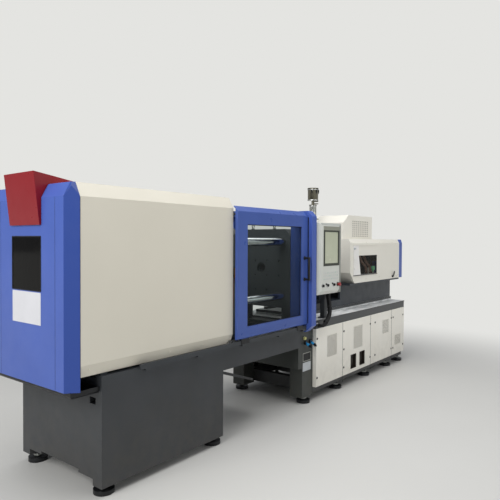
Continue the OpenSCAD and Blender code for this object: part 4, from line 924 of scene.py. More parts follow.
@dataclass
class ClampHousing:
    """End cover, hood, side covers and roof round the clamp."""

    bevel_z: float = 1802.0
    top_z: float = 1885.0
    window_half: float = 167.0
    window_z: Flat = (1245.0, 1571.0)
    plate_z: Flat = (1040.0, 1235.0)
    seam_y: float = 318.0
    hood_half: float = 175.5
    flange: float = 12.0
    flange_x: Flat = (48.0, 400.0)
    flange_screws_x: Row = (110.0, 250.0, 370.0)
    seam_half: float = 1.4
    seam_foot_z: float = 684.0
    corner_seam_x: Flat = (68.4, 70.6)
    corner_seam_z: float = 757.0
    side_screws_x: Row = (130.0, 445.0, 760.0, 1075.0, 1385.0)
    side_screws_z: float = 800.0
    strips_x: Flat = (470.0, 945.0)
    strip_screws_y: Row = (-380.0, -130.0, 130.0, 380.0)
    screw_radius: float = 4.5

    def build(self) -> None:
        """Dresses the covers and adds their small parts."""
        dress("end_cover", END_BLUE, 1.6)
        dress("end_hood", RED, 2.0)
        dress("side_covers", WHITE, 1.4)
        dress("roof_cover", WHITE, 1.0)
        dress("end_window", SMOKED)
        dress("drip_tray", NYLON, 2.0)
        self.end_details()
        self.hood_details()
        self.cover_screws()

    def end_details(self) -> None:
        """Adds the gasket, the bare plate and the shadowed seams of the end cover."""
        w, (z0, z1) = self.window_half, self.window_z
        gasket = Shape().rim(Axis.X, (-w - 4, z0 - 4, w + 4, z1 + 4), 7, 6, -1.5, 0.5)
        gasket.piece("end_window_gasket", RUBBER, "frame", "cable_rubber", 0.4)
        plate = Shape().slab((-1.0, -w + 2, self.plate_z[0]), (0.2, w - 2, self.plate_z[1]))
        plate.piece("end_bare_plate", BLANK, "frame", "panel_plastic", 0.3)
        seams, half = Shape(), self.seam_half
        for y in (-self.seam_y, self.seam_y):
            seams.slab((0.8, y - half, self.seam_foot_z), (1.5, y + half, self.bevel_z - 6))
        near, far = self.corner_seam_x
        for y in (-HALF_WIDTH - 0.5, HALF_WIDTH + 0.5):
            inner = math.copysign(HALF_WIDTH - 1, y)
            seams.slab((near, y, self.corner_seam_z), (far, inner, self.bevel_z - 4))
        seams.piece("end_seams", RUBBER, "frame", "cable_rubber", 0)

    def hood_details(self) -> None:
        """Adds the turned-out flange and the painted screws of the red hood."""
        trim, face = Shape(), self.top_z + 2.5
        start, end = self.flange_x
        for y in (-self.hood_half, self.hood_half):
            out = math.copysign(self.flange, y)
            trim.slab((start, y, self.top_z), (end, y + out, face))
            for x in self.flange_screws_x:
                trim.turned(Axis.Z, (x, y + out / 2, face), [(0, 4.5), (1.6, 4.2), (2.4, 2.5)], 12)
        trim.piece("hood_flange", RED, "frame", "red_enamel", 0.5)

    def cover_screws(self) -> None:
        """Adds the painted screws along the covers and the joint strips of the roof."""
        screws = Shape()
        for x in self.side_screws_x:
            screws.screw(Axis.Y, (x, -HALF_WIDTH, self.side_screws_z), self.screw_radius, way=-1)
        screws.both_sides().piece("side_cover_screws", WHITE, "frame", "white_enamel", 0)
        strips = Shape()
        reach, face = HALF_WIDTH - 60, self.top_z + 2.0
        for x in self.strips_x:
            strips.slab((x - 14, -reach, self.top_z - 0.5), (x + 14, reach, face))
            for y in self.strip_screws_y:
                strips.screw(Axis.Z, (x, y, face), self.screw_radius)
        strips.piece("roof_joint_strips", WHITE, "frame", "white_enamel", 0.6)


@dataclass
class GuardDoor:
    """Sliding guard door with its window, gasket and handle."""

    node: str
    glass: str
    side: int
    face: float = 510.0
    window_x: Flat = (1544.0, 2336.0)
    window_z: Flat = (872.0, 1681.0)
    handle_x: float = 2383.0
    handle_z: Flat = (1192.0, 1405.0)
    reach: float = 49.0

    def build(self) -> None:
        """Dresses the leaf and the pane and adds their small parts."""
        dress(self.node, DOOR_BLUE, 1.5)
        dress(self.glass, GLASS)
        s, y = self.side, self.side * self.face
        (x0, x1), (z0, z1) = self.window_x, self.window_z
        gasket = Shape().rim(Axis.Y, (x0 - 3, z0 - 3, x1 + 3, z1 + 3), 9, 8, y - s * 17.5, y - s * 12)
        gasket.piece(f"{self.node}_gasket", RUBBER, self.node, "cable_rubber", 0.5)
        low, high = self.handle_z
        out = y + s * self.reach
        rod = [(low - 1, 8.8), (low + 1, 10), (high - 1, 10), (high + 1, 8.8)]
        bar = Shape().turned(Axis.Z, (self.handle_x, out, 0), rod, 18)
        for z in (low + 9, high - 9):
            foot = [(-1, 17), (5, 17), (8, 12), (8, 10), (self.reach + 9, 10), (self.reach + 10.4, 8.4)]
            bar.turned(Axis.Y, (self.handle_x, y, z), [(s * along, radius) for along, radius in foot], 20)
        bar.piece(f"{self.node}_handle", NYLON, self.node, "black_plastic", 0.6)


@dataclass
class GuardFrame:
    """Corner posts, inner covers and the carrying frame."""

    # Dark strip on the post's edge next to the door: painted shade on that face.
    shade_strip: Block = ((2437.0, -519.0, 790.0), (2440.5, -511.5, 1770.0))

    def build(self) -> None:
        """Dresses the posts and the frame and adds a dark strip on each post by the door as painted shade.
        """
        dress("guard_frame", DARK, 1.2)
        dress("corner_posts", BLUE, 1.6)
        dress("platen_covers", GUARD_WHITE, 1.2)
        shade_strips = Shape().slab(*self.shade_strip).both_sides()
        shade_strips.piece("post_seals", RUBBER, "frame", "cable_rubber", 1.0)


@dataclass
class Clamp:
    """Platens, tie bars, toggle and clamp drive."""

    castings: tuple[str, ...] = (
        "fixed_platen", "moving_platen", "tail_platen", "crosshead", "rear_link_upper", "rear_link_lower",
        "front_link_upper", "front_link_lower",
    )
    fixed_fittings_x: float = 2440.0
    distributor_z: Flat = (1250.0, 1330.0)
    eyes_y: Flat = (-130.0, 130.0)
    eye_radius: float = 17.0
    eye_lift: float = 30.0
    first_line_z: float = 1262.0
    line_step: float = 18.0
    line_radius: float = 2.2

    def build(self) -> None:
        """Dresses the clamp and adds its fittings."""
        for node in self.castings:
            dress(node, CAST, 2.0)
        for node in ("cross_link_upper", "cross_link_lower", "tie_nuts", "ejector"):
            dress(node, STEEL, 1.2)
        dress("tie_bars", CHROME, 0.8)
        dress("clamp_screw", STEEL, 0.6)
        dress("clamp_motor", DARK, 1.2)
        self.platen_fittings("fixed_platen", "frame", self.fixed_fittings_x)
        self.platen_fittings("moving_platen", "moving_platen", extent("moving_platen")[1].x - 50)

    def platen_fittings(
        self, node: str, body: str, x: float, half: float = 340.0, top: float = 1665.0
    ) -> None:
        """Adds lifting eyes on a platen, and its grease distributor with lines on the operator side.

        Args:
            node: Platen that carries the fittings.
            body: Moving body that they ride on.
            x: Place of the fittings along the machine.
            half: Half the platen's width.
            top: Height of the platen's top.
        """
        eyes, wide = Shape(), self.eye_radius
        turns = [math.tau * k / 16 for k in range(17)]
        for y in self.eyes_y:
            eyes.turned(Axis.Z, (x, y, top), [(-1, wide), (7, wide), (11, 9), (16, 7)], 16)
            middle = top + self.eye_lift
            hoop = [(x + wide * math.sin(turn), y, middle - wide * math.cos(turn)) for turn in turns]
            eyes.tube(hoop, 5, 8)
        eyes.piece(f"{node}_lifting_eyes", ZINC, body, "galvanised_steel", 0)
        low, high = self.distributor_z
        block = Shape().slab((x - 16, -half - 14, low), (x + 16, -half + 1, high))
        block.piece(f"{node}_distributor", BRASS, body, "machined_steel", 1.0)
        lines = Shape()
        for k in range(4):
            z = self.first_line_z + self.line_step * k
            way = 1 if k > 1 else -1
            bend = x + way * (22 + 5 * (k % 2))
            far = AXIS_Z + way * (300 - 30 * (k % 2))
            path = [
                (x, -half - 13, z), (x, -half - 22, z), (bend, -half - 22, z + way * 6),
                (bend, -half - 6, z + way * 60), (bend, -half - 3, far)
            ]
            lines.tube(path, self.line_radius, 6)
        lines.piece(f"{node}_grease_lines", COPPER, body, "machined_steel", 0)


@dataclass
class Beds:
    """Clamp bed, platen base, injection bed and their feet."""

    feet_x: Row = (290.0, 1275.0, 2580.0, 3215.0, 3890.0, 4490.0, 4860.0)
    foot_y: float = 380.0
    face: float = -425.0
    tray: Block = ((1385.0, -452.0, 741.0), (2395.0, -342.0, 744.0))
    tray_lip: Block = ((1385.0, -452.0, 743.0), (2395.0, -449.5, 776.0))
    liner: Block = ((1330.0, -215.0, 565.0), (2395.0, -213.6, 769.0))
    # Lowest and highest place of each plate, first along the machine and then up
    light_plate: Box = (2500.0, 312.0, 2641.0, 394.0)
    dark_plate: Box = (2501.0, 405.0, 2640.0, 485.0)
    indicator_at: Flat = (2517.0, 630.0)
    coupling_x: Flat = (2539.0, 2626.0)
    coupling_z: float = 585.0
    coupling_way: Point = (-0.292, -0.899, -0.326)
    outlets_x: Row = (2820.0, 2852.0, 2884.0, 2916.0)
    outlets_y: float = -217.0
    manifold_z: Flat = (829.0, 876.0)

    def build(self) -> None:
        """Dresses the beds and adds what stands on them."""
        for node, finish in (("clamp_bed", DARK), ("injection_bed", DARK), ("platen_base", GREY)):
            dress(node, finish, 1.5)
        dress("bed_plate", PLATE, 1.0)
        dress("levelling_feet", NYLON, 1.5)
        dress("couplings", COUPLING, 0.8)
        nuts = Shape()
        for x in self.feet_x:
            nuts.turned(Axis.Z, (x, -self.foot_y, 36), [(0, 33, True), (14, 33, True)], 24)
        nuts.both_sides().piece("levelling_nuts", ZINC, "frame", "galvanised_steel", 1.0)
        self.trays()
        self.plates()
        self.water_fittings()
        self.hoses()

    def trays(self) -> None:
        """Adds the stainless drip trays beside the rails and the liners of the chute."""
        trays = Shape().slab(*self.tray).slab(*self.tray_lip).both_sides()
        trays.piece("drip_trays", STAINLESS, "frame", "machined_steel", 0.5)
        liners = Shape().slab(*self.liner).both_sides()
        liners.piece("chute_liners", STAINLESS, "frame", "machined_steel", 0.3)

    def plates(self) -> None:
        """Adds the two bare plates on the block under the fixed platen."""
        x0, z0, x1, z1 = self.light_plate
        light = Shape().slab((x0, self.face - 0.4, z0), (x1, self.face + 2.5, z1))
        light.piece("base_plate_light", DULL_PLATE, "frame", "machined_steel", 0.4)
        x0, z0, x1, z1 = self.dark_plate
        dark = Shape().slab((x0, self.face + 0.6, z0), (x1, self.face + 2.4, z1))
        dark.piece("base_plate_dark", NYLON, "frame", "black_plastic", 0.4)
        edge = (x0 - 1, z0 - 1, x1 + 1, z1 + 1)
        rim = Shape().rim(Axis.Y, edge, 7, 3, self.face - 0.8, self.face + 2.4)
        rim.piece("base_plate_rim", ZINC, "frame", "galvanised_steel", 0.4)

    def water_fittings(self) -> None:
        """Adds the dark collars round the blue couplings and the cap of the flow indicator."""
        collars, down = Shape(), Vector(self.coupling_way)
        for x in self.coupling_x:
            base = [(-14.5, 13.5), (-13, 19.5), (-3, 21), (0.5, 21)]
            collars.turned(Axis.Y, (x, self.face, self.coupling_z), base, 28)
            start = Vector((x, self.face - 6, self.coupling_z - 1))
            for near, far, radius in ((14, 22, 14.5), (60, 73, 14.2)):
                collars.tube(
                    [start + down * near, start + down * (near + far) / 2, start + down * far], radius, 20
                )
            collars.tube([start + down * 74, start + down * 82, start + down * 90], 7.5, 14)
        collars.piece("coupling_collars", BLACK_STEEL, "frame", "dark_enamel", 0.6)
        x, z = self.indicator_at
        cap = Shape().turned(Axis.Y, (x, self.face, z), [(-22, 9), (-20, 13.5), (-15, 16), (-2, 16)], 24)
        cap.piece("flow_indicator_cap", YELLOW_CAP, "frame", "coupling_plastic", 0.5)

    def hoses(self) -> None:
        """Adds the cooling manifold under the barrel and its hoses to the fixed platen."""
        y, (low, top) = self.outlets_y, self.manifold_z
        block = Shape().slab((self.outlets_x[0] - 20, y - 21, low), (self.outlets_x[-1] + 19, y + 21, top))
        for x in self.outlets_x:
            block.turned(Axis.Z, (x, y, top), [(-1, 12, True), (12, 12, True), (12, 8), (22, 8)], 12)
        block.piece("cooling_manifold", BLACK_STEEL, "frame", "dark_enamel", 1.0)
        hoses = Shape()
        for k, x in enumerate(self.outlets_x):
            up = 905.0 + 16 * k
            path = [(x, y, 888), (x - 2, y - 2, up), (x - 60, y - 20 - 6 * k, up + 50)]
            path += [
                (2640 + 8 * k, -262 - 6 * k, up + 40), (2590, -285, 985 + 34 * k),
                (2561, -290, 1000 + 36 * k)
            ]
            hoses.tube(bent(path), 10.5, 10)
        hoses.piece("cooling_hoses", RUBBER, "frame", "cable_rubber", 0)


@dataclass
class BaseCovers:
    """Folded covers along the injection bed."""

    lock_z: Flat = (222.0, 604.0)
    locks_x: Row = (2689.0, 3235.0, 3874.0, 4005.0, 4474.0, 4530.0)
    louvres: tuple[Box, ...] = (
        (2888.0, 3091.0, 388.0, 603.0), (3464.0, 3683.0, 377.0, 619.0), (4219.0, 4406.0, 437.0, 599.0),
        (4590.0, 4780.0, 250.0, 370.0),
    )
    rear_louvres: tuple[Box, ...] = ((3415.0, 3615.0, 240.0, 440.0), (4090.0, 4290.0, 240.0, 440.0))
    joints_x: Row = (3215.0, 3890.0, 4490.0)
    joint_y: Flat = (-465.6, -463.0)
    joint_z: Flat = (76.0, 698.0)
    lock_face: float = 468.0
    lock_radius: float = 11.0
    shade_back_y: Flat = (458.0, 461.0)
    lip_y: Flat = (464.6, 468.5)

    def build(self) -> None:
        """Dresses the covers and adds locks, folded lips and painted shade behind the louvres."""
        for node in ("base_cover_a", "base_cover_b", "base_cover_c", "base_cover_d", "base_rear_covers"):
            dress(node, BASE_WHITE, 1.0)
        dress("power_sockets", SOCKET, 0.8)
        self.locks()
        self.louvre_trim()
        self.joints()

    def locks(self) -> None:
        """Adds the black heads of the quarter-turn locks."""
        heads = Shape()
        last_x = extent("base_cover_d")[1].x - 40
        places = [(x, z) for x in (*self.locks_x, last_x) for z in self.lock_z]
        for x, z in [*places, (self.locks_x[1], sum(self.lock_z) / 2)]:
            heads.lock(Axis.Y, (x, -self.lock_face, z), self.lock_radius, way=-1)
        heads.piece("cover_lock_heads", NYLON, "frame", "black_plastic", 0)

    def louvre_trim(self) -> None:
        """Adds a near-black sheet behind the louvres as painted shade, and the folded lip above each row.
        """
        shade_backs, lips = Shape(), Shape()
        for side, rows in ((-1, self.louvres), (1, self.rear_louvres)):
            (inner, outer), (root, tip) = ([side * y for y in pair] for pair in (self.shade_back_y, self.lip_y))
            for x0, x1, z0, z1 in rows:
                shade_backs.slab((x0 - 4, inner, z0 - 4), (x1 + 4, outer, z1 + 4))
                lips.slab((x0 - 6, root, z1 + 6), (x1 + 6, tip, z1 + 9))
        # These near-black sheets are painted shade.
        shade_backs.piece("louvre_backs", SHADE_BACKING, "frame", "dark_enamel", 0)
        lips.piece("louvre_lips", BASE_WHITE, "frame", "white_enamel", 0.6)

    def joints(self) -> None:
        """Adds the dark gaps between neighbouring covers."""
        gaps = Shape()
        (near, far), (low, high) = self.joint_y, self.joint_z
        for x in self.joints_x:
            gaps.slab((x - 2.2, near, low), (x + 2.2, far, high))
        gaps.piece("cover_joints", RUBBER, "frame", "cable_rubber", 0)


@dataclass
class ControlPanel:
    """Operator panel with its stand, screen and controls."""

    front: float = -555.0
    left: float = 2570.0
    bottom: float = 1040.0
    screen_x: Flat = (2675.5, 2929.5)
    screen_z: Flat = (1337.0, 1641.0)
    control_z: float = 1126.0
    selectors_x: Point = (2636.0, 2726.0, 2848.0)
    stop_x: float = 2927.0
    stop_reach: float = 34.0
    lamps_x: Flat = (2700.0, 2822.0)
    # Section of the painted-shade skin over the panel's top, across the machine and up
    shade_skin: tuple[Flat, ...] = (
        (-555.7, 1706.6), (-537.4, 1725.7), (-495.0, 1725.7), (-495.0, 1724.8), (-537.0, 1724.8),
        (-555.0, 1706.0),
    )
    shade_skin_x: Flat = (2612.0, 2986.0)
    # Place of the first key from the panel's corner, and number of columns and rows
    first_key: Flat = (79.0, 139.0)
    key_count: tuple[int, int] = (8, 3)
    key: Flat = (24.0, 16.0)
    key_step: Flat = (36.0, 30.0)
    harness_start: Point = (2882.5, -471.0, 1080.0)
    harness_end: Point = (2700.0, -475.0, 735.0)
    # Share of the way along, distance sideways and drop of each point of the harness
    harness_route: tuple[Point, ...] = (
        (0, 0, 0), (0, 0, 40), (0.01, -8, 90), (0.04, -20, 140), (0.09, -31, 190), (0.17, -38, 235),
        (0.30, -40, 272), (0.46, -40, 302), (0.65, -40, 326), (0.83, -40, 340), (0.95, -36, 345),
        (1, -22, 345), (1, -2, 345),
    )
    # Offset and radius of each conduit in the bundle, and the conduit points that carry a tie
    conduits: tuple[Box, ...] = ((-9, -9, 4, 12.0), (10, -6, -6, 13.0), (-3, 10, -8, 11.0))
    ties: tuple[int, int] = (22, 46)

    def build(self) -> None:
        """Dresses the panel and adds its controls."""
        dress("panel_stand", DARK, 1.0)
        dress("panel_housing", PANEL_ABS, 1.2)
        dress("panel_screen", BEZEL, 0.8)
        for node in ("selector_a", "selector_b", "selector_c"):
            dress(node, NYLON, 0.8)
        (x0, x1), (z0, z1) = self.screen_x, self.screen_z
        screen = Shape().slab(
            (x0 + 0.5, self.front + 0.4, z0 + 0.5), (x1 - 0.5, self.front + 0.9, z1 - 0.5)
        )
        screen.piece("lit_screen", LCD, "control_panel", "screen_glass", 0)
        # The darker skin over the top of the panel is painted shade.
        top = Shape().prism(Axis.X, self.shade_skin, *self.shade_skin_x)
        top.piece("panel_top_skin", PANEL_TOP_SHADE, "control_panel", "panel_plastic", 0)
        self.keys()
        self.switches()
        self.stop()
        self.harness()

    def keys(self) -> None:
        """Adds the three rows of foil keys under the screen and green lamps on some of them."""
        keys, marks = Shape(), Shape()
        (wide, high), (across, up), (columns, rows) = self.key, self.key_step, self.key_count
        first_x, first_z = self.left + self.first_key[0], self.bottom + self.first_key[1]
        for column in range(columns):
            for row in range(rows):
                x, z = first_x + across * column, first_z + up * row
                keys.slab((x, self.front - 2.3, z), (x + wide, self.front - 1.2, z + high))
                if (column + row) % 4 == 0:
                    marks.slab((x + 9, self.front - 2.7, z + 5), (x + 15, self.front - 2.1, z + 11))
        keys.piece("panel_keys", KEY_GREY, "control_panel", "panel_plastic", 0.5)
        marks.piece("panel_key_lamps", GREEN_CAP, "control_panel", "panel_plastic", 0)

    def switches(self) -> None:
        """Adds the selector rings and pointers and the two dark pilot lamps."""
        rings, pointers, lamps = Shape(), Shape(), Shape()
        for name, x in zip("abc", self.selectors_x):
            rings.ring(Axis.Y, (x, self.front, self.control_z), 18.2, 15.2, -4.2, 0.4)
            z = self.control_z
            line = Shape().slab((x - 1.1, self.front - 21.0, z + 3), (x + 1.1, self.front - 19.6, z + 10.5))
            line.turn_about(Axis.Y, (x, self.front, z), 35)
            line.piece(f"selector_{name}_pointer", BLANK, f"selector_{name}", "panel_plastic", 0)
        dome = [(0.5, 8), (-4, 8), (-4, 6.5), (-8, 6), (-9.5, 3.5)]
        for x in self.lamps_x:
            lamps.turned(Axis.Y, (x, self.front, self.control_z + 14), dome, 20)
        rings.piece("selector_rings", CHROME, "control_panel", "machined_steel", 0.4)
        lamps.piece("pilot_lamps", NYLON, "control_panel", "black_plastic", 0)

    def stop(self) -> None:
        """Adds the turned mushroom head of the emergency stop and its collar."""
        reach = self.stop_reach
        profile = [(0, 11), (1.5, 16.5), (5, 20), (9, 20), (13, 17), (14, 10.4), (reach, 10.4), (49, 10.4)]
        head = Shape().turned(Axis.Y, (self.stop_x, self.front - reach, self.control_z), profile, 36)
        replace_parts(head.piece("stop_head", RED_CAP, "stop_button", "red_plastic", 0.4), "stop_button")
        collar = Shape().ring(Axis.Y, (self.stop_x, self.front, self.control_z), 20.5, 12.5, -7.0, 0.4)
        collar.piece("stop_collar", BEZEL, "control_panel", "black_plastic", 0.6)

    def harness(self) -> None:
        """Adds the bundle of corrugated conduits that hangs from the panel to the bed."""
        start, end = Vector(self.harness_start), Vector(self.harness_end)
        middle = bent(
            [(start.x + t * (end.x - start.x), start.y + y, start.z - z) for t, y, z in self.harness_route]
        )
        bundle = Shape()
        for dx, dy, dz, radius in self.conduits:
            path = thinned([Vector(p) + Vector((dx, dy, dz)) for p in middle], 5.0)
            bundle.tube(path, [radius * (1.0 if k % 2 else 0.88) for k in range(len(path))], 12)
        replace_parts(bundle.piece("harness_conduits", RUBBER, "frame", "cable_rubber", 0), "panel_harness")
        ties = Shape()
        for k in self.ties:
            at, ahead = middle[k], (middle[k + 1] - middle[k - 1]).normalized()
            ties.tube([at - ahead * 4, at, at + ahead * 4], 25.0, 20)
        ties.piece("harness_ties", NYLON, "frame", "black_plastic", 0.6)


@dataclass
class InjectionUnit:
    """Carriage, barrel, hopper and covers of the injection unit."""

    half: float = 415.0
    window: tuple[Flat, ...] = ((3720.0, 1177.0), (3672.0, 1390.0), (4151.0, 1390.0), (4151.0, 1177.0))
    bands_x: Row = (2690.0, 2808.0, 2926.0, 3044.0, 3162.0)
    lead_tray: tuple[Block, ...] = (
        ((2700.0, -128.0, 1082.0), (3288.0, -92.0, 1085.0)),
        ((2700.0, -130.0, 1082.0), (3288.0, -128.0, 1104.0)),
        ((2700.0, -92.0, 1082.0), (3288.0, -90.0, 1104.0)),
    )
    pane: Block = ((2694.0, -187.5, 1204.0), (2896.0, -184.5, 1396.0))
    pane_rim_y: Flat = (-191.4, -189.6)
    # Course of the guard's handle, across the machine and up
    grip: tuple[Flat, ...] = (
        (-190.0, 1240.0), (-222.0, 1244.0), (-226.0, 1300.0), (-222.0, 1356.0), (-190.0, 1360.0)
    )
    grip_x: float = 2930.0
    guard_back: tuple[Block, ...] = (
        ((2540.5, 194.0, 1190.0), (2938.0, 196.0, 1462.0)),
        ((2540.5, 170.0, 1190.0), (2543.0, 194.0, 1462.0)),
        ((2936.0, 182.0, 1190.0), (2938.0, 194.0, 1462.0)),
    )
    hopper_x: float = 3365.0
    hopper_bands: tuple[Point, ...] = (
        (1700, 1712, 44), (1938, 1952, 41), (2004, 2016, 61), (2122, 2132, 62.5)
    )
    catch_angles: Point = (200.0, 250.0, 310.0)
    catch_radius: float = 63.0
    catch_z: Flat = (2095.0, 2126.0)
    filter_mat: Block = ((3715.0, -302.0, 1600.0), (4150.0, -305.0, 1790.0))
    knob_at: Point = (3558.0, -419.5, 1472.0)
    cover_screws_x: Row = (3500.0, 3860.0, 4220.0, 4600.0, 4800.0)
    cover_screws_z: Flat = (1125.0, 1540.0)
    gasket_y: Flat = (-415.2, -412.2)
    drive_hoses_at: tuple[Flat, ...] = (
        (3760.0, -392.0), (3800.0, -380.0), (3850.0, -396.0), (3905.0, -384.0)
    )
    sill_z: float = 1172.0
    bracket: tuple[Block, ...] = (
        ((3985.0, -378.0, 1172.0), (4150.0, -375.0, 1246.0)),
        ((3985.0, -378.0, 1172.0), (3988.0, -340.0, 1246.0)),
    )
    rail_strip: Block = ((3540.0, -421.6, 1166.4), (4157.0, -414.8, 1173.6))
    plug: Block = ((4062.0, -404.0, 1210.0), (4124.0, -384.0, 1258.0))
    plug_stem: Point = (4093.0, -393.0, 1210.0)
    tank: Block = ((2989.2, 149.2, 906.0), (3140.8, 260.8, 1075.8))
    tank_cap: Point = (3065.0, 205.0, 1075.0)

    def build(self) -> None:
        """Dresses the injection unit and adds its small parts."""
        dress("purge_guard", GREY, 0.8)
        dress("carriage", CARRIAGE, 1.5)
        dress("barrel", STEEL, 1.0)
        dress("heater_bands", STAINLESS, 0.8)
        dress("feed_hopper", LOADER, 1.0)
        dress("injection_cover", COVER_WHITE, 0.8)
        dress("rear_cap", BLUE, 1.6)
        dress("injection_glass", TINTED)
        dress("service_panel", PANEL_WHITE, 0.8)
        dress("latch", NYLON, 0.8)
        dress("screw_drive", CAST, 1.5)
        dress("plasticising_screw", STEEL, 0.5)
        self.heaters()
        self.guard()
        self.hopper()
        self.cover_details()
        self.inside_window()
        self.reservoir()

    def heaters(self) -> None:
        """Adds the clamp screws, terminals and sleeved leads of the heater bands."""
        screws, leads, tray = Shape(), Shape(), Shape()
        bolt = [(-8, 5), (10, 5), (10, 8, True), (17, 8, True)]
        terminal = [(1, 4.5), (-8, 4.5), (-8, 6, True), (-13, 6, True)]
        for x in self.bands_x:
            for along in (12, 78):
                screws.turned(Axis.Z, (x + along, -78, AXIS_Z + 30), bolt, 12)
            for k in (-1, 1):
                at = x + 45 + 8 * k
                screws.turned(Axis.Y, (at, -104, AXIS_Z), terminal, 12)
                path = [(at, -112, AXIS_Z), (at + 1, -124, AXIS_Z - 14), (at + 7, -128, AXIS_Z - 60)]
                path += [(x + 66 + 5 * k, -122, AXIS_Z - 130), (x + 74 + 5 * k, -112, 1100)]
                leads.tube(bent(path), 4.2, 8)
        screws.piece("heater_fasteners", BRASS, "injection_unit", "machined_steel", 0)
        leads.piece("heater_leads", SLEEVE, "injection_unit", "cable_rubber", 0)
        for corners in self.lead_tray:
            tray.slab(*corners)
        tray.piece("heater_lead_tray", ZINC, "injection_unit", "galvanised_steel", 0.3)

    def guard(self) -> None:
        """Adds the smoked pane and the handle of the purge guard, and its fixed back sheet."""
        pane = Shape().slab(*self.pane)
        pane.piece("purge_guard_pane", SMOKED, "purge_guard", "dark_glass", 0)
        (x0, _, z0), (x1, _, z1) = self.pane
        rim = Shape().rim(Axis.Y, (x0 - 8, z0 - 8, x1 + 8, z1 + 8), 8, 8, *self.pane_rim_y)
        rim.tube(bent([(self.grip_x, y, z) for y, z in self.grip]), 6.5, 12)
        rim.piece("purge_guard_handle", NYLON, "purge_guard", "black_plastic", 0.4)
        wall = Shape()
        for corners in self.guard_back:
            wall.slab(*corners)
        wall.piece("purge_guard_back", GREY, "frame", "white_enamel", 0.6)

    def hopper(self) -> None:
        """Adds the clamp bands and the catches of the hopper canister."""
        steel, catches = Shape(), Shape()
        for z0, z1, radius in self.hopper_bands:
            band = [(z0, radius - 3), (z0 + 1, radius), (z1 - 1, radius), (z1, radius - 3)]
            steel.turned(Axis.Z, (self.hopper_x, 0, 0), band, 40)
        steel.piece("hopper_bands", STAINLESS, "injection_unit", "machined_steel", 0.4)
        low, high = self.catch_z
        for angle in self.catch_angles:
            turn = math.radians(angle)
            x, y = self.hopper_x + self.catch_radius * math.cos(turn), self.catch_radius * math.sin(turn)
            catches.slab((x - 5, y - 5, low), (x + 5, y + 5, high))
            catches.turned(Axis.Z, (x, y, low - 15), [(0, 3.5), (16, 3.5)], 10)
        catches.piece("hopper_catches", BLACK_STEEL, "injection_unit", "dark_enamel", 0.6)

    def cover_details(self) -> None:
        """Adds filter mats, the window gasket, the cover screws and the service panel's knob."""
        mats = Shape().slab(*self.filter_mat).both_sides()
        mats.piece("grille_filters", FILTER, "injection_unit", "panel_plastic", 0)
        inner, outer, (front, back) = self.outline(3.5), self.outline(-1.0), self.gasket_y
        section = ((outer, front), (inner, front), (inner, back), (outer, back), (outer, front))
        rings = [[Vector((x, y, z)) for x, z in spots] for spots, y in section]
        gasket = Shape().loft(rings, closed_ends=False)
        gasket.piece("injection_window_gasket", RUBBER, "injection_unit", "cable_rubber", 0)
        profile = [(0.5, 13), (-5, 13), (-5, 10), (-16, 11), (-18, 9)]
        knob = Shape().turned(Axis.Y, self.knob_at, profile, 24)
        knob.piece("service_panel_knob", DULL_PLATE, "service_panel", "machined_steel", 0.5)
        screws = Shape()
        for x in self.cover_screws_x:
            for z in self.cover_screws_z:
                screws.screw(Axis.Y, (x, -self.half, z), 4.5, way=-1)
        screws.both_sides().piece(
            "injection_cover_screws", COVER_SCREW, "injection_unit", "white_enamel", 0
        )

    def outline(self, inset: float) -> list[Flat]:
        """Finds the corners of the injection window.

        Args:
            inset: Distance that they are moved inwards.

        Returns:
            Places along the machine and up.
        """
        (x0, z0), (x1, z1), (x2, _), _ = self.window
        low, high, right = z0 + inset, z1 - inset, x2 - inset
        return [(x0 + inset, low), (x1 + inset, high), (right, high), (right, low)]

    def inside_window(self) -> None:
        """Adds the hoses and the green connector that show behind the tinted window."""
        hoses, bracket = Shape(), Shape()
        for k, (x, y) in enumerate(self.drive_hoses_at):
            path = [(x - 30, y, 1396), (x, y, 1350), (x + 60, y + 4, 1300), (x + 130, y + 2, 1255)]
            hoses.tube(bent([*path, (x + 150 + 8 * k, y, self.sill_z)]), 11.0 - k, 12)
        for corners in self.bracket:
            bracket.slab(*corners)
        bracket.piece("drive_bracket", DULL_PLATE, "injection_unit", "machined_steel", 0.6)
        strip = Shape().slab(*self.rail_strip)
        strip.piece("window_rail_strip", NYLON, "injection_unit", "black_plastic", 0.4)
        hoses.piece("drive_hoses", BROWN_RUBBER, "injection_unit", "cable_rubber", 0)
        plug = Shape().slab(*self.plug).turned(Axis.Z, self.plug_stem, [(0, 9), (-22, 9)], 16)
        plug.piece("drive_connector", GREEN_CAP, "injection_unit", "coupling_plastic", 1.5)

    def reservoir(self) -> None:
        """Adds the milky grease reservoir over its block, and its cap."""
        tank = Shape().slab(*self.tank)
        tank.piece("grease_reservoir", RESERVOIR, "injection_unit", "panel_plastic", 4.0)
        cap = Shape().turned(Axis.Z, self.tank_cap, [(0, 26), (14, 26), (17, 22)], 28)
        cap.piece("grease_reservoir_cap", NYLON, "injection_unit", "black_plastic", 0.6)


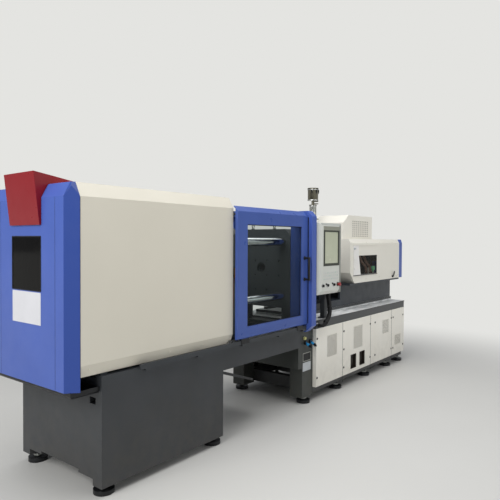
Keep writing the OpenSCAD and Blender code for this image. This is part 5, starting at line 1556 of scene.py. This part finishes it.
@dataclass
class Studio:
    """Floor, light and the camera at the photograph's viewing angle."""

    place: Point = (-4.111, -3.023, 1.55)
    focal_px: float = 516.1
    frame_px: float = 500.0
    sensor_mm: float = 36.0
    heading: float = 38.133
    dip: float = 1.0
    roll: float = 0.2525
    backdrop: str = "#E4E4E1"
    sky: str = "#E9ECF0"
    sky_strength: float = 0.36
    floor_colours: tuple[str, str] = ("#D4D3CF", "#CFCECA")
    floor_half: float = 60.0
    fade_m: Flat = (2.4, 5.6)
    lamps: tuple[tuple[str, Point, Point, Flat, float], ...] = (
        ("overhead", (-0.4, -0.8, 5.2), (0.0, -0.2, 0.0), (6.5, 4.0), 200.0),
        ("key", (-6.5, -0.8, 3.6), (-1.5, 0.0, 1.0), (3.5, 3.0), 215.0),
        ("front", (0.5, -7.5, 3.4), (0.0, 0.0, 0.9), (7.0, 3.0), 75.0),
    )

    def build(self) -> None:
        """Builds the whole studio."""
        self.floor()
        self.light()
        self.camera()

    def floor(self) -> None:
        """Lays a plain pale floor that fades into the backdrop away from the machine."""
        data = bpy.data.meshes.new("studio_floor")
        reach = self.floor_half
        corners = [(-reach, -reach, 0), (reach, -reach, 0), (reach, reach, 0), (-reach, reach, 0)]
        data.from_pydata(corners, [], [(0, 1, 2, 3)])
        made = add_object("studio_floor", data)
        paint = bpy.data.materials.new("pale_floor")
        tree = empty_tree(paint)
        place = add_node(tree, "TexCoord").outputs["Object"]
        noise = add_node(tree, "TexNoise", {"Vector": place, "Scale": 1.2, "Detail": 3.0})
        first, second = (linear(colour) for colour in self.floor_colours)
        sockets = {0: noise.outputs["Fac"], 6: first, 7: second}
        tone = add_node(tree, "Mix", sockets, data_type="RGBA").outputs[2]
        near = add_node(tree, "BsdfPrincipled", {"Base Color": tone, "Roughness": 0.5}).outputs[0]
        far = add_node(tree, "Emission", {"Color": linear(self.backdrop)}).outputs[0]
        away = add_node(tree, "VectorMath", {0: place}, operation="LENGTH").outputs["Value"]
        start, end = self.fade_m
        sockets = {"Value": away, "From Min": start, "From Max": end}
        share = add_node(tree, "MapRange", sockets, interpolation_type="SMOOTHSTEP").outputs[0]
        surface = add_node(tree, "MixShader", {0: share, 1: near, 2: far})
        add_node(tree, "OutputMaterial", {"Surface": surface.outputs[0]})
        data.materials.append(paint)

    def light(self) -> None:
        """Adds a pale world and three large soft lamps."""
        world = bpy.data.worlds.new("studio")
        bpy.context.scene.world = world
        tree = empty_tree(world)
        seen = add_node(tree, "LightPath").outputs["Is Camera Ray"]
        sockets = {"Color": linear(self.sky), "Strength": self.sky_strength}
        soft = add_node(tree, "Background", sockets).outputs[0]
        sockets = {"Color": linear(self.backdrop), "Strength": 1.0}
        pale = add_node(tree, "Background", sockets).outputs[0]
        surface = add_node(tree, "MixShader", {0: seen, 1: soft, 2: pale})
        add_node(tree, "OutputWorld", {"Surface": surface.outputs[0]})
        for name, spot, aim, size, power in self.lamps:
            data = bpy.data.lights.new(name, "AREA")
            data.shape, data.energy = "RECTANGLE", power
            data.size, data.size_y = size
            lamp = add_object(name, data)
            lamp.location = spot
            lamp.rotation_euler = (Vector(aim) - Vector(spot)).to_track_quat("-Z", "Y").to_euler()
        bpy.context.scene.view_settings.view_transform = "Standard"

    def camera(self) -> None:
        """Sets the camera where the photograph was taken from."""
        heading, dip, roll = (math.radians(v) for v in (self.heading, self.dip, self.roll))
        ahead = Vector(
            (math.cos(dip) * math.cos(heading), math.cos(dip) * math.sin(heading), -math.sin(dip))
        )
        right = Vector((math.sin(heading), -math.cos(heading), 0.0))
        up = right.cross(ahead)
        level, tilt = math.cos(roll), math.sin(roll)
        right, up = level * right + tilt * up, level * up - tilt * right
        data = bpy.data.cameras.new("camera")
        data.sensor_width = self.sensor_mm
        data.lens = self.sensor_mm * self.focal_px / self.frame_px
        made = add_object("camera", data)
        facing = Matrix((right, up, -ahead)).transposed().to_4x4()
        made.matrix_world = Matrix.Translation(self.place) @ facing
        bpy.context.scene.camera = made


def main() -> None:
    """Builds the studio and the machine, in order."""
    logging.basicConfig(level=logging.INFO, format="%(message)s")
    Studio().build()
    ClampHousing().build()
    GuardDoor("front_door", "front_glass", -1).build()
    GuardDoor("rear_door", "rear_glass", 1).build()
    GuardFrame().build()
    Clamp().build()
    Beds().build()
    BaseCovers().build()
    ControlPanel().build()
    InjectionUnit().build()


if __name__ == "__main__":
    main()
